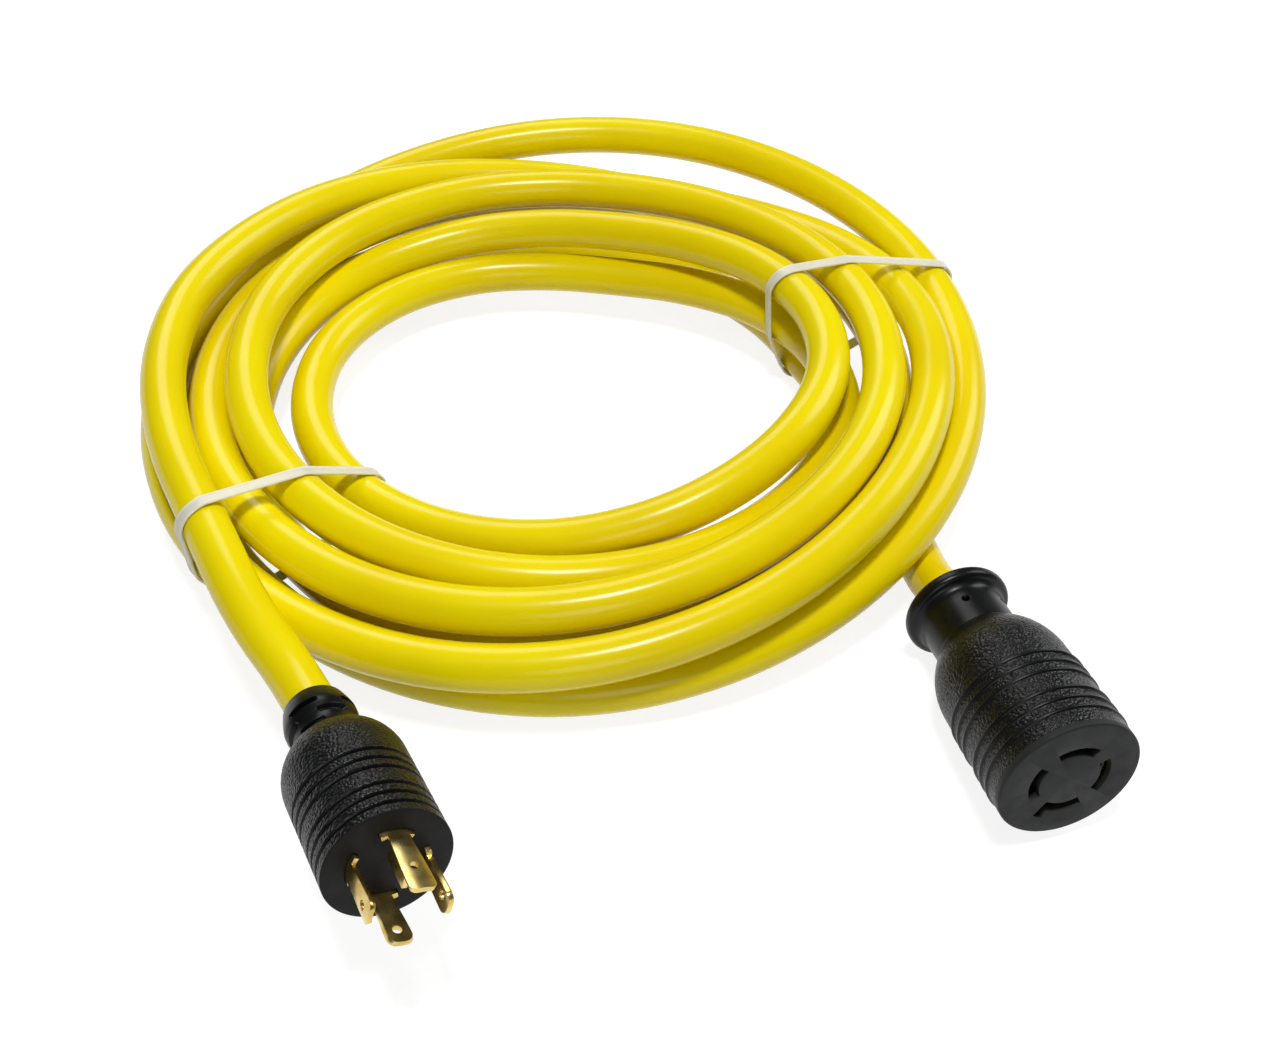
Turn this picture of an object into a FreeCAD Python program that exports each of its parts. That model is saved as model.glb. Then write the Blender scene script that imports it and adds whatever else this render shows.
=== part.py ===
import FreeCAD, Part
import Sketcher
import math
import os
import re

from FreeCAD import Placement, Rotation, Vector

# Shore power cord: a heavy jacketed cable in a loose coil, held by two cable ties, with a four-blade
# twist-lock plug on one end and a twist-lock connector on the other. Millimetres, +Z up, the origin on the
# floor under the middle of the whole object.

doc = FreeCAD.newDocument("ShorePowerCord")

# Driving sizes, in millimetres, degrees and counts
SIZES = {
    "cord_diameter": 17.5,
    "floor_cut": 0.5,
    "fit_gap": 0.15,
    "wall_step": 0.3,
    # Cable ties
    "tie_width": 4.8,
    "tie_thickness": 1.1,
    "tie_gap": 0.5,
    "tie_head_length": 6.5,
    "tie_head_height": 4.6,
    "tie_head_width": 7.0,
    # Blades and contacts, shared by the plug and the connector
    "blade_circle_radius": 12.0,
    "blade_thickness": 1.6,
    "blade_reach": 19.8,
    "ground_reach": 24.2,
    "blade_root_width": 6.4,
    "blade_tip_width": 7.8,
    "blade_foot_width": 10.0,
    "blade_foot_height": 1.6,
    "blade_tip_corner": 2.2,
    "blade_hole_radius": 1.5,
    "blade_hole_inset": 4.8,
    "ground_hole_inset": 9.1,
    "flange_reach": 5.0,
    "flange_start": 4.2,
    "flange_length": 12.6,
    "conductor_radius": 2.1,
    "conductor_bundle_radius": 4.4,
    # Plug
    "plug_length": 75.0,
    "plug_radius": 20.2,
    "collar_rear_radius": 10.8,
    "collar_radius": 12.3,
    "collar_widest_at": 8.5,
    "collar_length": 14.0,
    "collar_waist_radius": 10.9,
    "plug_dome_start": 20.0,
    "plug_dome_start_radius": 11.6,
    "plug_dome_end": 36.0,
    "plug_jacket_end": 22.0,
    "plug_cavity_cone": 12.0,
    "plug_cavity_radius": 15.7,
    "plug_face_thickness": 2.0,
    "plug_core_length": 20.0,
    "blade_tail_length": 3.0,
    "groove_first_inset": 28.5,
    "groove_second_inset": 12.5,
    "groove_pitch": 4.3,
    "groove_width": 2.0,
    "groove_depth": 0.9,
    "slot_row_first_at": 8.4,
    "slot_row_pitch": 4.3,
    "slot_width": 1.9,
    "slot_depth": 1.0,
    "slot_arc": 52.0,
    # Connector
    "connector_length": 87.0,
    "bell_radius": 19.8,
    "bell_rim_length": 5.5,
    "bell_mouth_radius": 12.4,
    "bell_mouth_depth": 6.0,
    "bell_rim_round": 2.2,
    "neck_flare": 1.2,
    "neck_radius": 15.8,
    "neck_start": 9.0,
    "connector_dome_start": 22.5,
    "connector_dome_end": 43.0,
    "connector_rear_radius": 24.2,
    "connector_front_radius": 25.0,
    "connector_jacket_end": 26.0,
    "connector_cavity_cone": 16.0,
    "connector_cavity_radius": 15.1,
    "connector_face_thickness": 2.5,
    "connector_core_length": 30.0,
    "rib_first_inset": 35.2,
    "rib_second_inset": 17.7,
    "rib_pitch": 4.6,
    "rib_radius": 0.75,
    "neck_hole_at": 12.4,
    "neck_hole_radius": 1.25,
    "neck_hole_depth": 2.5,
    "neck_hole_turn": 17.6,
    "neck_hole_spread": 60.0,
    "slot_clearance": 0.35,
    "slot_width_front": 12.6,
    "slot_turn_room": 1.4,
    "nub_width": 2.4,
    "nub_reach": 3.4,
    "contact_wall": 0.8,
    "contact_setback": 0.6,
    "contact_width": 9.4,
    "contact_tail": 1.0,
    # Where the faces lie on the floor plan, from the coil's middle
    "plug_face_left": 40.9,
    "plug_face_forward": 250.5,
    "plug_face_height": 53.0,
    "connector_face_right": 170.8,
    "connector_face_forward": 206.3,
    # Straight runs from the coil and out of the mouldings, and where the connector's lead bends
    "coil_end_run": 24.0,
    "coil_start_run": 38.0,
    "plug_run": 12.0,
    "connector_run": 2.0,
    "lead_bend_right": 140.0,
    "lead_bend_forward": 93.0,
    "lead_bend_lift": 0.55,
}

# Counts
GROOVES_PER_GROUP = 3
RIBS_PER_GROUP = 3
COLLAR_SLOTS = 4
COLLAR_ROWS = 3
NECK_HOLES = 4

sheet = doc.addObject("Spreadsheet::Sheet", "Sizes")
for row, (alias, value) in enumerate(SIZES.items(), start=1):
    sheet.set("A%d" % row, alias)
    sheet.set("B%d" % row, str(value))
    sheet.setAlias("B%d" % row, alias)
doc.recompute()


def linked(formula):
    """The formula with each size's name written as a cell of the sheet."""
    def cell(found):
        return "Sizes." + found.group() if found.group() in SIZES else found.group()

    return re.sub(r"[a-z]\w*", cell, formula)


def measure(formula):
    """The formula's value as a plain number."""
    value = sheet.evalExpression(formula)
    return float(getattr(value, "Value", value))


CORD = measure("cord_diameter")
CORD_RADIUS = CORD / 2

# Where things lie. x and y are measured from the coil's middle.
PLUG_FACE_AT = Vector(measure("-plug_face_left"), measure("-plug_face_forward"), measure("plug_face_height"))
PLUG_HEADING = 27.5
PLUG_PITCH = 11.0
PLUG_ROLL = -23.5
CONNECTOR_FACE_OVER = Vector(measure("connector_face_right"), measure("-connector_face_forward"), 0)
CONNECTOR_HEADING = 15.4
CONNECTOR_PITCH = 7.0
CONNECTOR_ROLL = -7.0


def facing(heading, pitch, roll, face_at, length):
    """Placement of a piece whose local Z runs out of its face; local Y is up, turned by the roll."""
    turn = Rotation(Vector(0, 0, 1), heading) * Rotation(Vector(1, 0, 0), 90 - pitch)
    turn = turn * Rotation(Vector(0, 0, 1), roll)
    base = face_at - turn.multVec(Vector(0, 0, length))
    return Placement(base, turn)


def resting_face_height():
    """How high the connector's face is when the bell's rounded rim rests on the floor."""
    pitch = math.radians(CONNECTOR_PITCH)
    rim = measure("bell_rim_round")
    behind = measure("connector_length") - rim
    return rim + (measure("bell_radius") - rim) * math.cos(pitch) + behind * math.sin(pitch)


PLUG = facing(PLUG_HEADING, PLUG_PITCH, PLUG_ROLL, PLUG_FACE_AT, measure("plug_length"))
CONNECTOR = facing(CONNECTOR_HEADING, CONNECTOR_PITCH, CONNECTOR_ROLL,
                   CONNECTOR_FACE_OVER + Vector(0, 0, resting_face_height()), measure("connector_length"))

parts = []


def finish(piece, label, placement):
    """Gives a sub-part its name and its place, and puts it on the list."""
    piece.Label = label
    piece.Placement = placement
    parts.append(piece)
    return piece


# Sketches

def plane_of(body, role):
    return next(plane for plane in body.Origin.OriginFeatures if plane.Role == role)


def outline_sketch(owner, name, points, arcs=()):
    """A closed outline whose corners are (across, along) formulas. A side listed in arcs is an arc that
    ends tangent to the side after it."""
    sketch = owner.newObject("Sketcher::SketchObject", name)
    sketch.AttachmentSupport = [(plane_of(owner, "XZ_Plane"), "")]
    sketch.MapMode = "FlatFace"
    places = [Vector(measure(across), measure(along), 0) for across, along in points]
    count = len(points)
    for side, start in enumerate(places):
        end = places[(side + 1) % count]
        if side in arcs:
            after = places[(side + 2) % count]
            sketch.addGeometry(tangent_arc(start, end, after), False)
        else:
            sketch.addGeometry(Part.LineSegment(start, end), False)
    starts = []
    ends = []
    for side in range(count):
        flipped = side in arcs and sketch.Geometry[side].StartPoint.distanceToPoint(places[side]) > 1e-6
        starts.append(2 if flipped else 1)
        ends.append(1 if flipped else 2)
    for side in range(count):
        after = (side + 1) % count
        kind = "Tangent" if side in arcs else "Coincident"
        sketch.addConstraint(Sketcher.Constraint(kind, side, ends[side], after, starts[after]))
    for side, (across, along) in enumerate(points):
        bind_distance(sketch, "X", side, starts[side], across)
        bind_distance(sketch, "Y", side, starts[side], along)
    return sketch


def tangent_arc(start, end, after):
    """The arc from start that arrives at end heading for after."""
    heading = (after - end).normalize()
    chord = end - start
    normal = Vector(-heading.y, heading.x, 0)
    radius = chord.dot(chord) / (-2 * chord.dot(normal))
    centre = end + normal * radius
    middle = (start + end) / 2 - centre
    middle = centre + middle.normalize() * abs(radius)
    if radius < 0:
        return Part.Arc(end, middle, start)
    return Part.Arc(start, middle, end)


def bind_distance(sketch, axis, side, end, formula):
    value = measure(formula)
    if abs(value) < 1e-9:
        line = -2 if axis == "X" else -1
        sketch.addConstraint(Sketcher.Constraint("PointOnObject", side, end, line))
        return
    number = sketch.addConstraint(Sketcher.Constraint("Distance" + axis, -1, 1, side, end, value))
    if "_" in formula:
        sketch.setExpression("Constraints[%d]" % number, linked(formula))


def turned_body(name, points, arcs=()):
    """A body of revolution about its Z axis, from the half outline."""
    body = doc.addObject("PartDesign::Body", name)
    sketch = outline_sketch(body, name + "Outline", points, arcs)
    turn = body.newObject("PartDesign::Revolution", name + "Turn")
    turn.Profile = sketch
    turn.ReferenceAxis = (sketch, ["V_Axis"])
    turn.Angle = 360
    doc.recompute()
    return body


def ring_feature(body, kind, name, points, angle=360, start=0):
    """Turns a small outline about the body's Z axis, adding or cutting it."""
    sketch = outline_sketch(body, name + "Outline", points)
    if start:
        sketch.AttachmentOffset = Placement(Vector(), Rotation(Vector(0, 1, 0), start))
    feature = body.newObject("PartDesign::" + kind, name)
    feature.Profile = sketch
    feature.ReferenceAxis = (sketch, ["V_Axis"])
    if angle == 360:
        feature.Angle = 360
    else:
        feature.setExpression("Angle", linked(angle))
        feature.Midplane = True
    return feature


def repeat_along(body, feature, pitch, count):
    """Copies a ring feature along the body's Z axis."""
    pattern = body.newObject("PartDesign::LinearPattern", feature.Name + "Row")
    pattern.Originals = [feature]
    pattern.Direction = (plane_of(body, "Z_Axis"), [""])
    pattern.setExpression("Length", linked("%s * %d" % (pitch, count - 1)))
    pattern.Occurrences = count
    body.Tip = pattern
    doc.recompute()
    return pattern


def repeat_round(body, feature, count):
    """Copies a feature evenly round the body's Z axis."""
    pattern = body.newObject("PartDesign::PolarPattern", feature.Name + "Ring")
    pattern.Originals = [feature]
    pattern.Axis = (plane_of(body, "Z_Axis"), [""])
    pattern.Angle = 360
    pattern.Occurrences = count
    body.Tip = pattern
    doc.recompute()
    return pattern


def round_rims(body, name, radius, rims):
    """Rounds the circular edges at the given (radius, height) places."""
    doc.recompute()
    base = body.Tip
    wanted = [(measure(across), measure(along)) for across, along in rims]
    names = []
    for number, edge in enumerate(base.Shape.Edges, start=1):
        if not isinstance(edge.Curve, Part.Circle):
            continue
        for across, along in wanted:
            close = abs(edge.Curve.Radius - across) < 1e-4 and abs(edge.Curve.Center.z - along) < 1e-4
            if close:
                names.append("Edge%d" % number)
    fillet = body.newObject("PartDesign::Fillet", name)
    fillet.Base = (base, names)
    fillet.setExpression("Radius", linked(radius))
    body.Tip = fillet
    doc.recompute()
    return fillet


# Primitives for the curved plates

def cylinder(name, radius, height, bottom, angle=None):
    """A cylinder on the Z axis, or the slice of one that is centred on -Y."""
    solid = doc.addObject("Part::Cylinder", name)
    solid.setExpression("Radius", linked(radius))
    solid.setExpression("Height", linked(height))
    turn = Rotation()
    if angle:
        solid.setExpression("Angle", linked(angle))
        turn = Rotation(Vector(0, 0, 1), -90 - measure(angle) / 2)
    solid.Placement = Placement(Vector(), turn)
    solid.setExpression("Placement.Base.z", linked(bottom))
    return solid


def curved_plate(name, inner, outer, width, height, bottom):
    """A plate bent round the Z axis and centred on -Y, as wide as its chord on the blade circle."""
    angle = "2 * asin((%s) / (2 * blade_circle_radius))" % width
    whole = cylinder(name + "Outer", outer, height, bottom, angle)
    core = cylinder(name + "Inner", inner, height, bottom)
    return boolean("Part::Cut", name, whole, core)


def boolean(kind, name, base, tool):
    result = doc.addObject(kind, name)
    result.Base = base
    result.Tool = tool
    return result


def joined(name, shapes):
    result = doc.addObject("Part::MultiFuse", name)
    result.Shapes = shapes
    result.Refine = True
    return result


def turned(placement, angle):
    return placement.multiply(Placement(Vector(), Rotation(Vector(0, 0, 1), angle)))


# Plug

BORE = "cord_diameter / 2 + fit_gap"
PLUG_FACE_BACK = "plug_length - plug_face_thickness"
PLUG_CORE_BACK = PLUG_FACE_BACK + " - plug_core_length"
PLUG_TAIL = PLUG_CORE_BACK + " - blade_tail_length"
BLADE_INNER = "blade_circle_radius - blade_thickness / 2"
BLADE_OUTER = "blade_circle_radius + blade_thickness / 2"
# The slots' ends are radial and the blades' sides are parallel, so a slot is wider on the blade circle.
SLOT_WIDTH = "(blade_foot_width + 2 * fit_gap) * blade_circle_radius / (%s - fit_gap)" % BLADE_INNER


def make_plug_body():
    body = turned_body("PlugBody", [
        (BORE, "0"),
        ("collar_rear_radius", "0"),
        ("collar_radius", "collar_widest_at"),
        ("collar_waist_radius", "collar_length"),
        ("plug_dome_start_radius", "plug_dome_start"),
        ("plug_radius", "plug_dome_end"),
        ("plug_radius", PLUG_FACE_BACK),
        ("plug_cavity_radius", PLUG_FACE_BACK),
        ("plug_cavity_radius", "plug_jacket_end + plug_cavity_cone"),
        (BORE, "plug_jacket_end"),
    ], arcs=[4])
    for number, inset in enumerate(("groove_first_inset", "groove_second_inset")):
        first = "plug_length - " + inset
        groove = ring_feature(body, "Groove", "Groove%d" % number, [
            ("plug_radius + groove_depth", first + " - groove_width"),
            ("plug_radius - groove_depth", first + " - groove_width / 5"),
            ("plug_radius - groove_depth", first + " + groove_width / 5"),
            ("plug_radius + groove_depth", first + " + groove_width"),
        ])
        repeat_along(body, groove, "groove_pitch", GROOVES_PER_GROUP)
    for row in range(COLLAR_ROWS):
        middle = "slot_row_first_at + %d * slot_row_pitch" % row
        slot = ring_feature(body, "Groove", "CollarSlot%d" % row, [
            ("collar_waist_radius - slot_depth", middle + " - slot_width / 2"),
            ("collar_radius + slot_depth", middle + " - slot_width / 2"),
            ("collar_radius + slot_depth", middle + " + slot_width / 2"),
            ("collar_waist_radius - slot_depth", middle + " + slot_width / 2"),
        ], angle="slot_arc", start=180 / COLLAR_SLOTS * ((row + 1) % 2))
        repeat_round(body, slot, COLLAR_SLOTS)
    return finish(body, "plug_body", PLUG)


def make_plug_face():
    disc = turned_body("PlugDisc", [
        ("0", PLUG_FACE_BACK),
        ("plug_radius", PLUG_FACE_BACK),
        ("plug_radius", "plug_length"),
        ("0", "plug_length"),
    ])
    slots = []
    for number, name in enumerate(BLADE_NAMES):
        slot = curved_plate("PlugSlot%d" % number, BLADE_INNER + " - fit_gap", BLADE_OUTER + " + fit_gap",
                            SLOT_WIDTH, "2 * plug_face_thickness", PLUG_FACE_BACK + " - wall_step")
        slot.Placement = Placement(Vector(), Rotation(Vector(0, 0, 1), 90 * number))
        slots.append(slot)
    face = boolean("Part::Cut", "PlugFace", disc, joined("PlugSlots", slots))
    return finish(face, "plug_face", turned(PLUG, 180))


def make_core(end, radius, back, front, placement):
    """The solid middle behind a face, which keeps the blades or contacts apart."""
    core = turned_body(end.title() + "Core", [("0", back), (radius, back), (radius, front), ("0", front)])
    return finish(core, end + "_core", placement)


def make_blade(number, name):
    reach = "ground_reach" if name == "ground" else "blade_reach"
    tip = "plug_length + " + reach
    body = doc.addObject("PartDesign::Body", "BladeBlank%d" % number)
    sketch = outline_sketch(body, "BladeOutline%d" % number, [
        ("-blade_foot_width / 2", PLUG_TAIL),
        ("blade_foot_width / 2", PLUG_TAIL),
        ("blade_foot_width / 2", "plug_length + blade_foot_height"),
        ("blade_root_width / 2", "plug_length + blade_foot_height"),
        ("blade_tip_width / 2", tip + " - blade_tip_corner"),
        ("blade_tip_width / 2 - blade_tip_corner", tip),
        ("-blade_tip_width / 2 + blade_tip_corner", tip),
        ("-blade_tip_width / 2", tip + " - blade_tip_corner"),
        ("-blade_root_width / 2", "plug_length + blade_foot_height"),
        ("-blade_foot_width / 2", "plug_length + blade_foot_height"),
    ])
    pad = body.newObject("PartDesign::Pad", "BladePad%d" % number)
    pad.Profile = sketch
    pad.setExpression("Length", linked("blade_circle_radius + blade_thickness"))
    ring = boolean("Part::Cut", "BladeRing%d" % number,
                   cylinder("BladeOuter%d" % number, BLADE_OUTER, tip, "0"),
                   cylinder("BladeInner%d" % number, BLADE_INNER, tip, "0"))
    plate = boolean("Part::Common", "BladePlate%d" % number, ring, body)
    inset = "ground_hole_inset" if name == "ground" else "blade_hole_inset"
    hole = cylinder("BladeHole%d" % number, "blade_hole_radius", BLADE_OUTER, tip + " - " + inset)
    hole.Placement.Rotation = Rotation(Vector(1, 0, 0), 90)
    blade = boolean("Part::Cut", "Blade%d" % number, plate, hole)
    if name == "ground":
        flange = doc.addObject("Part::Box", "Flange")
        flange.setExpression("Length", linked("blade_thickness"))
        flange.setExpression("Width", linked("flange_reach + blade_thickness / 2"))
        flange.setExpression("Height", linked("flange_length"))
        flange.setExpression("Placement.Base.x", linked("blade_root_width / 2 - blade_thickness"))
        flange.setExpression("Placement.Base.y", linked("-blade_circle_radius"))
        flange.setExpression("Placement.Base.z", linked("plug_length + flange_start"))
        blade = joined("GroundBlade", [blade, flange])
    return finish(blade, "plug_blade_" + name, turned(PLUG, 180 + 90 * number))


def make_conductor(end, number, name, start, stop, placement):
    """One insulated conductor, from the jacket's end to a blade or a contact."""
    rings = []
    ends = [("conductor_bundle_radius", start), ("blade_circle_radius", stop)]
    for part, (radius, height) in enumerate(ends):
        ring = doc.addObject("Part::Circle", "%sRing%d%d" % (end, number, part))
        ring.setExpression("Radius", linked("conductor_radius"))
        ring.setExpression("Placement.Base.y", linked("-" + radius))
        ring.setExpression("Placement.Base.z", linked(height))
        rings.append(ring)
    loft = doc.addObject("Part::Loft", "%sConductor%d" % (end, number))
    loft.Sections = rings
    loft.Solid = True
    loft.Ruled = True
    return finish(loft, "%s_conductor_%s" % (end, name), turned(placement, 180 + 90 * number))


# Connector

CONNECTOR_FACE_BACK = "connector_length - connector_face_thickness"
CONNECTOR_CORE_BACK = CONNECTOR_FACE_BACK + " - connector_core_length"
SLOT_INNER = BLADE_INNER + " - slot_clearance"
SLOT_OUTER = BLADE_OUTER + " + slot_clearance"
# The slots in the face are wider than the blades, which turn in them to lock
FACE_SLOT_OUTER = SLOT_OUTER + " + slot_turn_room"


def make_connector_body():
    body = turned_body("ConnectorBody", [
        ("bell_mouth_radius", "0"),
        ("bell_radius - bell_rim_round", "0"),
        ("bell_radius", "bell_rim_round"),
        ("bell_radius", "bell_rim_length - bell_rim_round"),
        ("bell_radius - bell_rim_round", "bell_rim_length"),
        ("neck_radius + neck_flare", "bell_rim_length"),
        ("neck_radius", "neck_start"),
        ("neck_radius", "connector_dome_start"),
        ("connector_rear_radius", "connector_dome_end"),
        ("connector_front_radius", CONNECTOR_FACE_BACK),
        ("connector_cavity_radius", CONNECTOR_FACE_BACK),
        ("connector_cavity_radius", "connector_jacket_end + connector_cavity_cone"),
        (BORE, "connector_jacket_end"),
        (BORE, "bell_mouth_depth"),
    ], arcs=[1, 3, 5, 7])
    taper = "(connector_front_radius - connector_rear_radius) / (%s - connector_dome_end)"
    taper = taper % CONNECTOR_FACE_BACK
    for number, inset in enumerate(("rib_first_inset", "rib_second_inset")):
        first = "connector_length - " + inset
        skin = "connector_rear_radius + (%s - connector_dome_end) * %s" % (first, taper)
        rib = ring_feature(body, "Revolution", "Rib%d" % number, [
            (skin + " - rib_radius", first + " - rib_radius * 1.6"),
            (skin + " + rib_radius", first + " - rib_radius / 3"),
            (skin + " + rib_radius", first + " + rib_radius / 3"),
            (skin + " - rib_radius", first + " + rib_radius * 1.6"),
        ])
        repeat_along(body, rib, "rib_pitch", RIBS_PER_GROUP)
    holes = []
    for number in range(NECK_HOLES):
        hole = cylinder("NeckHole%d" % number, "neck_hole_radius", "neck_radius", "neck_hole_at")
        angle = measure("neck_hole_turn") + 180 * (number // 2) - measure("neck_hole_spread") * (number % 2)
        turn = Rotation(Vector(0, 0, 1), angle) * Rotation(Vector(1, 0, 0), 90)
        reach = measure("neck_radius - neck_hole_depth")
        hole.Placement = Placement(turn.multVec(Vector(0, 0, reach)), turn)
        hole.setExpression("Placement.Base.z", linked("neck_hole_at"))
        holes.append(hole)
    pierced = boolean("Part::Cut", "ConnectorGrip", body, joined("NeckHoles", holes))
    return finish(pierced, "connector_body", CONNECTOR)


def make_connector_face():
    disc = turned_body("ConnectorDisc", [
        ("0", CONNECTOR_FACE_BACK),
        ("connector_front_radius", CONNECTOR_FACE_BACK),
        ("connector_front_radius", "connector_length"),
        ("0", "connector_length"),
    ])
    round_rims(disc, "FaceRound", "connector_face_thickness / 3",
               [("connector_front_radius", "connector_length")])
    cuts = []
    for number in range(len(BLADE_NAMES)):
        slot = curved_plate("FaceSlot%d" % number, SLOT_INNER, FACE_SLOT_OUTER, "slot_width_front",
                            "2 * connector_face_thickness", CONNECTOR_FACE_BACK + " - wall_step")
        slot.Placement = Placement(Vector(), Rotation(Vector(0, 0, 1), 90 * number))
        cuts.append(slot)
    nub = curved_plate("SlotNub", FACE_SLOT_OUTER + " - wall_step", FACE_SLOT_OUTER + " + nub_reach",
                       "nub_width", "2 * connector_face_thickness", CONNECTOR_FACE_BACK + " - wall_step")
    nub.Placement = Placement(Vector(), Rotation(Vector(0, 0, 1), 180 + measure(
        "asin((nub_width - slot_width_front) / (2 * blade_circle_radius))")))
    cuts.append(nub)
    face = boolean("Part::Cut", "ConnectorFace", disc, joined("FaceCuts", cuts))
    return finish(face, "connector_face", turned(CONNECTOR, 180))


def make_contact(number, name):
    """A sprung brass sleeve: two bent walls joined by a web at the back."""
    back = CONNECTOR_CORE_BACK + " - contact_tail"
    length = "connector_core_length + contact_tail - contact_setback"
    pieces = [
        curved_plate("ContactInner%d" % number, SLOT_INNER + " - contact_wall", SLOT_INNER, "contact_width",
                     length, back),
        curved_plate("ContactOuter%d" % number, SLOT_OUTER, SLOT_OUTER + " + contact_wall", "contact_width",
                     length, back),
        curved_plate("ContactWeb%d" % number, SLOT_INNER + " - contact_wall", SLOT_OUTER + " + contact_wall",
                     "contact_width", "2 * contact_wall", back),
    ]
    return finish(joined("Contact%d" % number, pieces), "connector_contact_" + name,
                  turned(CONNECTOR, 180 + 90 * number))


# Coil

# Passes of the cord at the four quarter turns, each (radius, height) of its middle in cord diameters.
# A turn runs right, back, left, front. The first starts at the lead that lies on the floor under the
# right-hand side, and the last ends where the plug's lead leaves over the front left.
ON_FLOOR = (CORD_RADIUS - measure("floor_cut")) / CORD
TURN_STATIONS = [
    [(6.45, ON_FLOOR), (8.80, 0.60), (8.92, 0.60)],
    [(9.50, 1.88), (9.88, 2.35), (9.60, 1.60), (9.30, 1.64)],
    [(8.72, 2.80), (8.62, 1.15), (8.45, 1.75), (8.20, 2.10)],
    [(7.62, 2.90), (6.65, 2.55), (7.50, 2.50), (7.02, 1.95)],
    [(6.75, 1.78), (4.60, 1.25), (6.15, 1.20), (5.66, 1.50)],
    [(6.32, 2.95), (5.00, 2.40), (7.35, 1.35), (7.82, ON_FLOOR)],
    [(7.92, 1.71), (7.55, 1.90), (9.15, 2.90)],
]
FIRST_QUARTER_AT = 75
# Where the coil starts and ends: direction in degrees, radius, height, and their steps per radian
COIL_START = (12, 6.39, 0.59, -0.67, 0.10)
COIL_END = (222, 9.50, 2.65, 1.66, -0.80)


def coil_stations():
    """The stations' places and the cord's headings there."""
    passes = [place for turn in TURN_STATIONS for place in turn]
    directions = [math.radians(FIRST_QUARTER_AT + 90 * number) for number in range(len(passes))]
    last_turn = directions[-1] - directions[-1] % (2 * math.pi)
    directions = [math.radians(COIL_START[0])] + directions + [last_turn + math.radians(COIL_END[0])]
    radii = [COIL_START[1]] + [place[0] for place in passes] + [COIL_END[1]]
    heights = [COIL_START[2]] + [place[1] for place in passes] + [COIL_END[2]]
    radius_steps = steady_steps(radii, directions, COIL_START[3], COIL_END[3])
    height_steps = steady_steps(heights, directions, COIL_START[4], COIL_END[4])
    for number in range(1, len(heights) - 1):
        rise = heights[number] - heights[number - 1]
        next_rise = heights[number + 1] - heights[number]
        if rise * next_rise <= 0:
            height_steps[number] = 0
    places = []
    headings = []
    for direction, radius, height, out, up in zip(directions, radii, heights, radius_steps, height_steps):
        outward = Vector(math.cos(direction), math.sin(direction), 0)
        around = Vector(-outward.y, outward.x, 0)
        places.append((outward * radius + Vector(0, 0, height)) * CORD)
        headings.append((outward * out + around * radius + Vector(0, 0, up)).normalize())
    return places, headings


def steady_steps(values, directions, first, last):
    """At each station, the mean of the steps per radian before and after it."""
    steps = [(after - before) / (later - earlier)
             for before, after, earlier, later in zip(values, values[1:], directions, directions[1:])]
    return [first] + [(before + after) / 2 for before, after in zip(steps, steps[1:])] + [last]


def biarc(start, heading, end, end_heading):
    """Two tangent arcs from one place and heading to the next."""
    span = end - start
    both = heading + end_heading
    spread = 2 * (1 - heading.dot(end_heading))
    half = span.dot(both)
    reach = span.dot(span) / (half + math.sqrt(half * half + spread * span.dot(span)))
    corner = start + heading * reach
    end_corner = end - end_heading * reach
    joint = (corner + end_corner) / 2
    return [cornered_arc(start, corner, joint), cornered_arc(joint, end_corner, end)]


def cornered_arc(start, corner, end):
    """The arc from start to end whose tangents there meet at the corner."""
    middle = (start + end) / 2
    half_turn = math.atan2((corner - middle).Length, (end - middle).Length)
    top = middle + (corner - middle) * (math.tan(half_turn / 2) / math.tan(half_turn))
    return Part.Arc(start, top, end).toShape()


def coil_path():
    places, headings = coil_stations()
    lead_in = places[0] - headings[0] * CORD
    lead_out = places[-1] + headings[-1] * CORD
    edges = [Part.LineSegment(lead_in, places[0]).toShape()]
    for number in range(len(places) - 1):
        edges += biarc(places[number], headings[number], places[number + 1], headings[number + 1])
    edges.append(Part.LineSegment(places[-1], lead_out).toShape())
    return edges


def swept(edges):
    """A round cord along the edges."""
    start = edges[0].valueAt(edges[0].FirstParameter)
    heading = edges[0].tangentAt(edges[0].FirstParameter)
    ring = Part.Wire(Part.Circle(start, heading, CORD_RADIUS).toShape())
    return Part.Wire(edges).makePipeShell([ring], True, False)


def report_volume(label, solid, edges):
    expected = math.pi * CORD_RADIUS ** 2 * sum(edge.Length for edge in edges)
    print("%s: volume %.4f of section times length" % (label, solid.Volume / expected))


def least_gap(points, others, skip):
    """The least clear distance between points on cord middles. Points within skip of each other in the
    first list are left out."""
    least = math.inf
    cells = {}
    for number, point in enumerate(others):
        cells.setdefault(tuple(int(value // CORD) for value in point), []).append((number, point))
    near = [(a, b, c) for a in (-1, 0, 1) for b in (-1, 0, 1) for c in (-1, 0, 1)]
    for number, point in enumerate(points):
        home = [int(value // CORD) for value in point]
        for step in near:
            for other_number, other in cells.get(tuple(h + d for h, d in zip(home, step)), []):
                if skip and abs(number - other_number) < skip:
                    continue
                least = min(least, point.distanceToPoint(other) - CORD)
    return least


def points_on(edges, spacing):
    points = []
    for edge in edges:
        count = max(2, round(edge.Length / spacing) + 1)
        points += edge.discretize(Number=count)[:-1]
    return points


def make_coil(edges):
    solid = swept(edges)
    report_volume("cord_coil", solid, edges)
    box = solid.BoundBox
    corner = Vector(box.XMin - CORD_RADIUS, box.YMin - CORD_RADIUS, -CORD)
    floor = Part.makeBox(box.XLength + CORD, box.YLength + CORD, CORD, corner)
    coil = doc.addObject("Part::Feature", "Coil")
    coil.Shape = solid.cut(floor)
    return finish(coil, "cord_coil", Placement())


# Leads

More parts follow.
